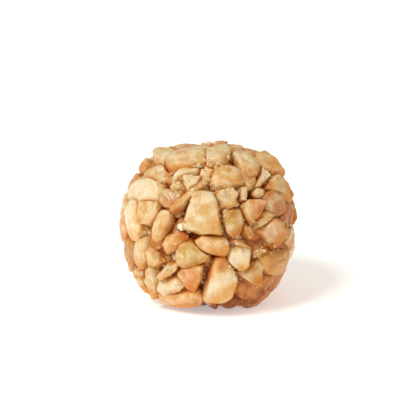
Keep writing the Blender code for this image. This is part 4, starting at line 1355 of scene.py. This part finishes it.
def strewn_crumbs(ground, strewing, count):
    """Crumbs of one strewing, as one object. Small ones are more frequent than large ones."""
    dice = np.random.default_rng(strewing.seed)
    places = scatter(ground, count, strewing.on_top, strewing.depth, strewing.seed)
    sizes = np.exp(dice.uniform(*np.log(strewing.sizes), count))
    shares = np.array(strewing.shares) / sum(strewing.shares)
    tones = np.array([tone(key) for key in dice.choice(CRUMB_TONES, count, p=shares)])
    shade = smooth_step(np.array([depth for _, _, depth in places]), *SHADE_DEPTHS)[:, None]
    tones = tones * (1 - shade * (1 - np.array(strewing.tint)))
    crumb_object(places, sizes, tones, strewing.name, strewing.grid, strewing.seed)


LONE_TONE = "white"  # the only crumb of this tone is a crystal that lies alone
LONE_LIFT = 1.6  # how far it stands out of its gap, mm
CLUSTER = (4, 9)  # how many crumbs lie at each of the other places
CLUSTER_REACH = 0.55
CLUSTER_SIZES = (0.35, 1.1)  # as shares of the size written out
CLUSTER_TONES = ("cream", "pale", "gold")  # of every other crumb
CLUSTER_TINT = (1.04, 0.86, 0.66)
FRONT_SEED = 13


def front_crumbs(ground):
    """The crumbs that the front shows, as one object: a cluster at each place written out."""
    places, sizes, tones = [], [], []
    dice = random.Random(SEED)
    for across, up, size, key in FRONT_CRUMBS:
        alone = key == LONE_TONE
        for k in range(1 if alone else dice.randint(*CLUSTER)):
            apart = CLUSTER_REACH if k else 0
            aside, above = dice.gauss(0, apart), dice.gauss(0, apart)
            seen = RIGHT * (across + aside) + UPWARD * (up + above)
            met = ground.hit(MIDDLE + seen + TO_VIEWER * WIDTH, -TO_VIEWER)
            if met is None:
                continue
            place, facing = met
            if alone:
                place = place + np.array(tuple(TO_VIEWER)) * LONE_LIFT
                sizes.append(size)
                tones.append(tone(key))
            else:
                sizes.append(size * dice.uniform(*CLUSTER_SIZES))
                tones.append(tone(key if k % 2 else dice.choice(CLUSTER_TONES)) * CLUSTER_TINT)
            places.append((place, facing, 0.0))
    crumb_object(places, np.array(sizes), np.array(tones), "pale_crumbs", CRUMB_GRID, FRONT_SEED)


class BITE_OT_crumbs(bpy.types.Operator):
    """Crumbs in the gaps, flecks on the pieces and the crumbs that the front shows"""

    bl_idname = "bite.crumbs"
    bl_label = "Crumbs"

    def execute(self, context):
        ground = Ground(GROUND)
        for key, strewing in STREWINGS.items():
            strewn_crumbs(ground, strewing, getattr(context.scene.bite_sizes, key))
        front_crumbs(ground)
        return {"FINISHED"}


LENS = 90.0
SENSOR = 36.0
SEEN_WIDTH = 88.8  # how much the picture's width shows at the ball
AIM = (-0.17, 3.63)  # the picture's centre, across and up from the ball's middle
NEAREST_SEEN = 0.01
ROOM_LIGHT = 0.50  # the soft light all round
ROOM_TINT = (1.0, 0.92, 0.80, 1)
KEY_POWER = 2.13
LIGHT_TINT = (0.92, 0.97, 1.0)
KEY_SPREAD = math.radians(22)
KEY_TURN = (math.radians(43), 0, math.radians(-48))  # down from the upper left of the front
FILL_POWER = 0.3
FILL_SPREAD = math.radians(50)
FILL_TURN = (math.radians(62), 0, math.radians(52))  # down from the right of the front


class BITE_OT_stage(bpy.types.Operator):
    """The white floor, the soft lights and the camera"""

    bl_idname = "bite.stage"
    bl_label = "Stage"

    def execute(self, context):
        scene = context.scene
        data = bpy.data.cameras.new("camera")
        data.lens, data.sensor_width = LENS, SENSOR
        data.clip_start = NEAREST_SEEN
        camera = bpy.data.objects.new("camera", data)
        aim = MIDDLE + RIGHT * AIM[0] + UPWARD * AIM[1]
        camera.location = (aim + TO_VIEWER * SEEN_WIDTH * LENS / SENSOR) * MM
        camera.rotation_euler = (math.pi / 2 - VIEW_TILT, 0, 0)
        scene.collection.objects.link(camera)
        scene.camera = camera
        floor_sheet()
        world = bpy.data.worlds.new("studio")
        world.use_nodes = True
        light = world.node_tree.nodes["Background"]
        light.inputs["Color"].default_value = ROOM_TINT
        light.inputs["Strength"].default_value = ROOM_LIGHT
        scene.world = world
        for name, power, spread, turn in (
            ("key", KEY_POWER, KEY_SPREAD, KEY_TURN),
            ("fill", FILL_POWER, FILL_SPREAD, FILL_TURN),
        ):
            data = bpy.data.lights.new(name, "SUN")
            data.energy, data.angle, data.color = power, spread, LIGHT_TINT
            light = bpy.data.objects.new(name, data)
            light.rotation_euler = turn
            scene.collection.objects.link(light)
        scene.view_settings.view_transform = "Standard"
        return {"FINISHED"}


FLOOR_REACH = 2.0
FLOOR_GRID = (12, 64)  # rings and columns
FLOOR_GLOW = 0.38  # lifts the shadow, as a lit table does


def floor_sheet():
    """A round white floor: rings of points at growing distances from the middle, at height 0."""
    rings, columns = FLOOR_GRID
    reach = FLOOR_REACH * (np.arange(1, rings + 1) / rings) ** 2
    bearing = np.arange(columns) * 2 * np.pi / columns
    level = (np.outer(reach, np.cos(bearing)), np.outer(reach, np.sin(bearing)))
    ring = np.stack([*level, np.zeros((rings, columns))], axis=-1).reshape(-1, 3)
    index = 1 + np.arange(rings * columns).reshape(rings, columns)
    after = np.roll(index, -1, axis=1)
    fan = np.stack([np.zeros(columns, int), index[0], after[0]], axis=-1).tolist()
    quads = np.stack([index[:-1], index[1:], after[1:], after[:-1]], axis=-1).reshape(-1, 4)
    mesh = bpy.data.meshes.new("floor")
    mesh.from_pydata(np.vstack([[0, 0, 0], ring]).tolist(), [], fan + quads.tolist())
    floor = bpy.data.objects.new("floor", mesh)
    bpy.context.scene.collection.objects.link(floor)
    finish = Finish("floor_white")
    paper = finish.noise(4.0, 2.0)
    white = finish.mix(paper, (0.90, 0.90, 0.90, 1), (0.92, 0.92, 0.92, 1))
    glow = {"Emission_Color": (1, 1, 1, 1), "Emission_Strength": FLOOR_GLOW}
    mesh.materials.append(finish.surface(white, paper * 0.1 + 0.6, [(paper, 0.02, 0.05)], **glow))
    return floor


STEPS = (
    BITE_OT_split_kernels,
    BITE_OT_chopped_pieces,
    BITE_OT_chalky_pieces,
    BITE_OT_coated_lumps,
    BITE_OT_sticky_middle,
    BITE_OT_crumbs,
    BITE_OT_stage,
)


class BITE_PT_panel(bpy.types.Panel):
    """The steps, in order, and the tones and sizes"""

    bl_idname = "BITE_PT_panel"
    bl_label = "Peanut butter bite"
    bl_space_type = "VIEW_3D"
    bl_region_type = "UI"
    bl_category = "Bite"

    def draw(self, context):
        for settings in (context.scene.bite_tones, context.scene.bite_sizes):
            for name in settings.__annotations__:
                self.layout.prop(settings, name)
        for step in STEPS:
            self.layout.operator(step.bl_idname)


CLASSES = (BiteTones, BiteSizes, *STEPS, BITE_PT_panel)


def register():
    for thing in CLASSES:
        bpy.utils.register_class(thing)
    bpy.types.Scene.bite_tones = bpy.props.PointerProperty(type=BiteTones)
    bpy.types.Scene.bite_sizes = bpy.props.PointerProperty(type=BiteSizes)


def unregister():
    del bpy.types.Scene.bite_sizes
    del bpy.types.Scene.bite_tones
    for thing in reversed(CLASSES):
        bpy.utils.unregister_class(thing)


def main():
    register()
    for step in STEPS:
        group, name = step.bl_idname.split(".")
        getattr(getattr(bpy.ops, group), name)()


if __name__ == "__main__":
    main()
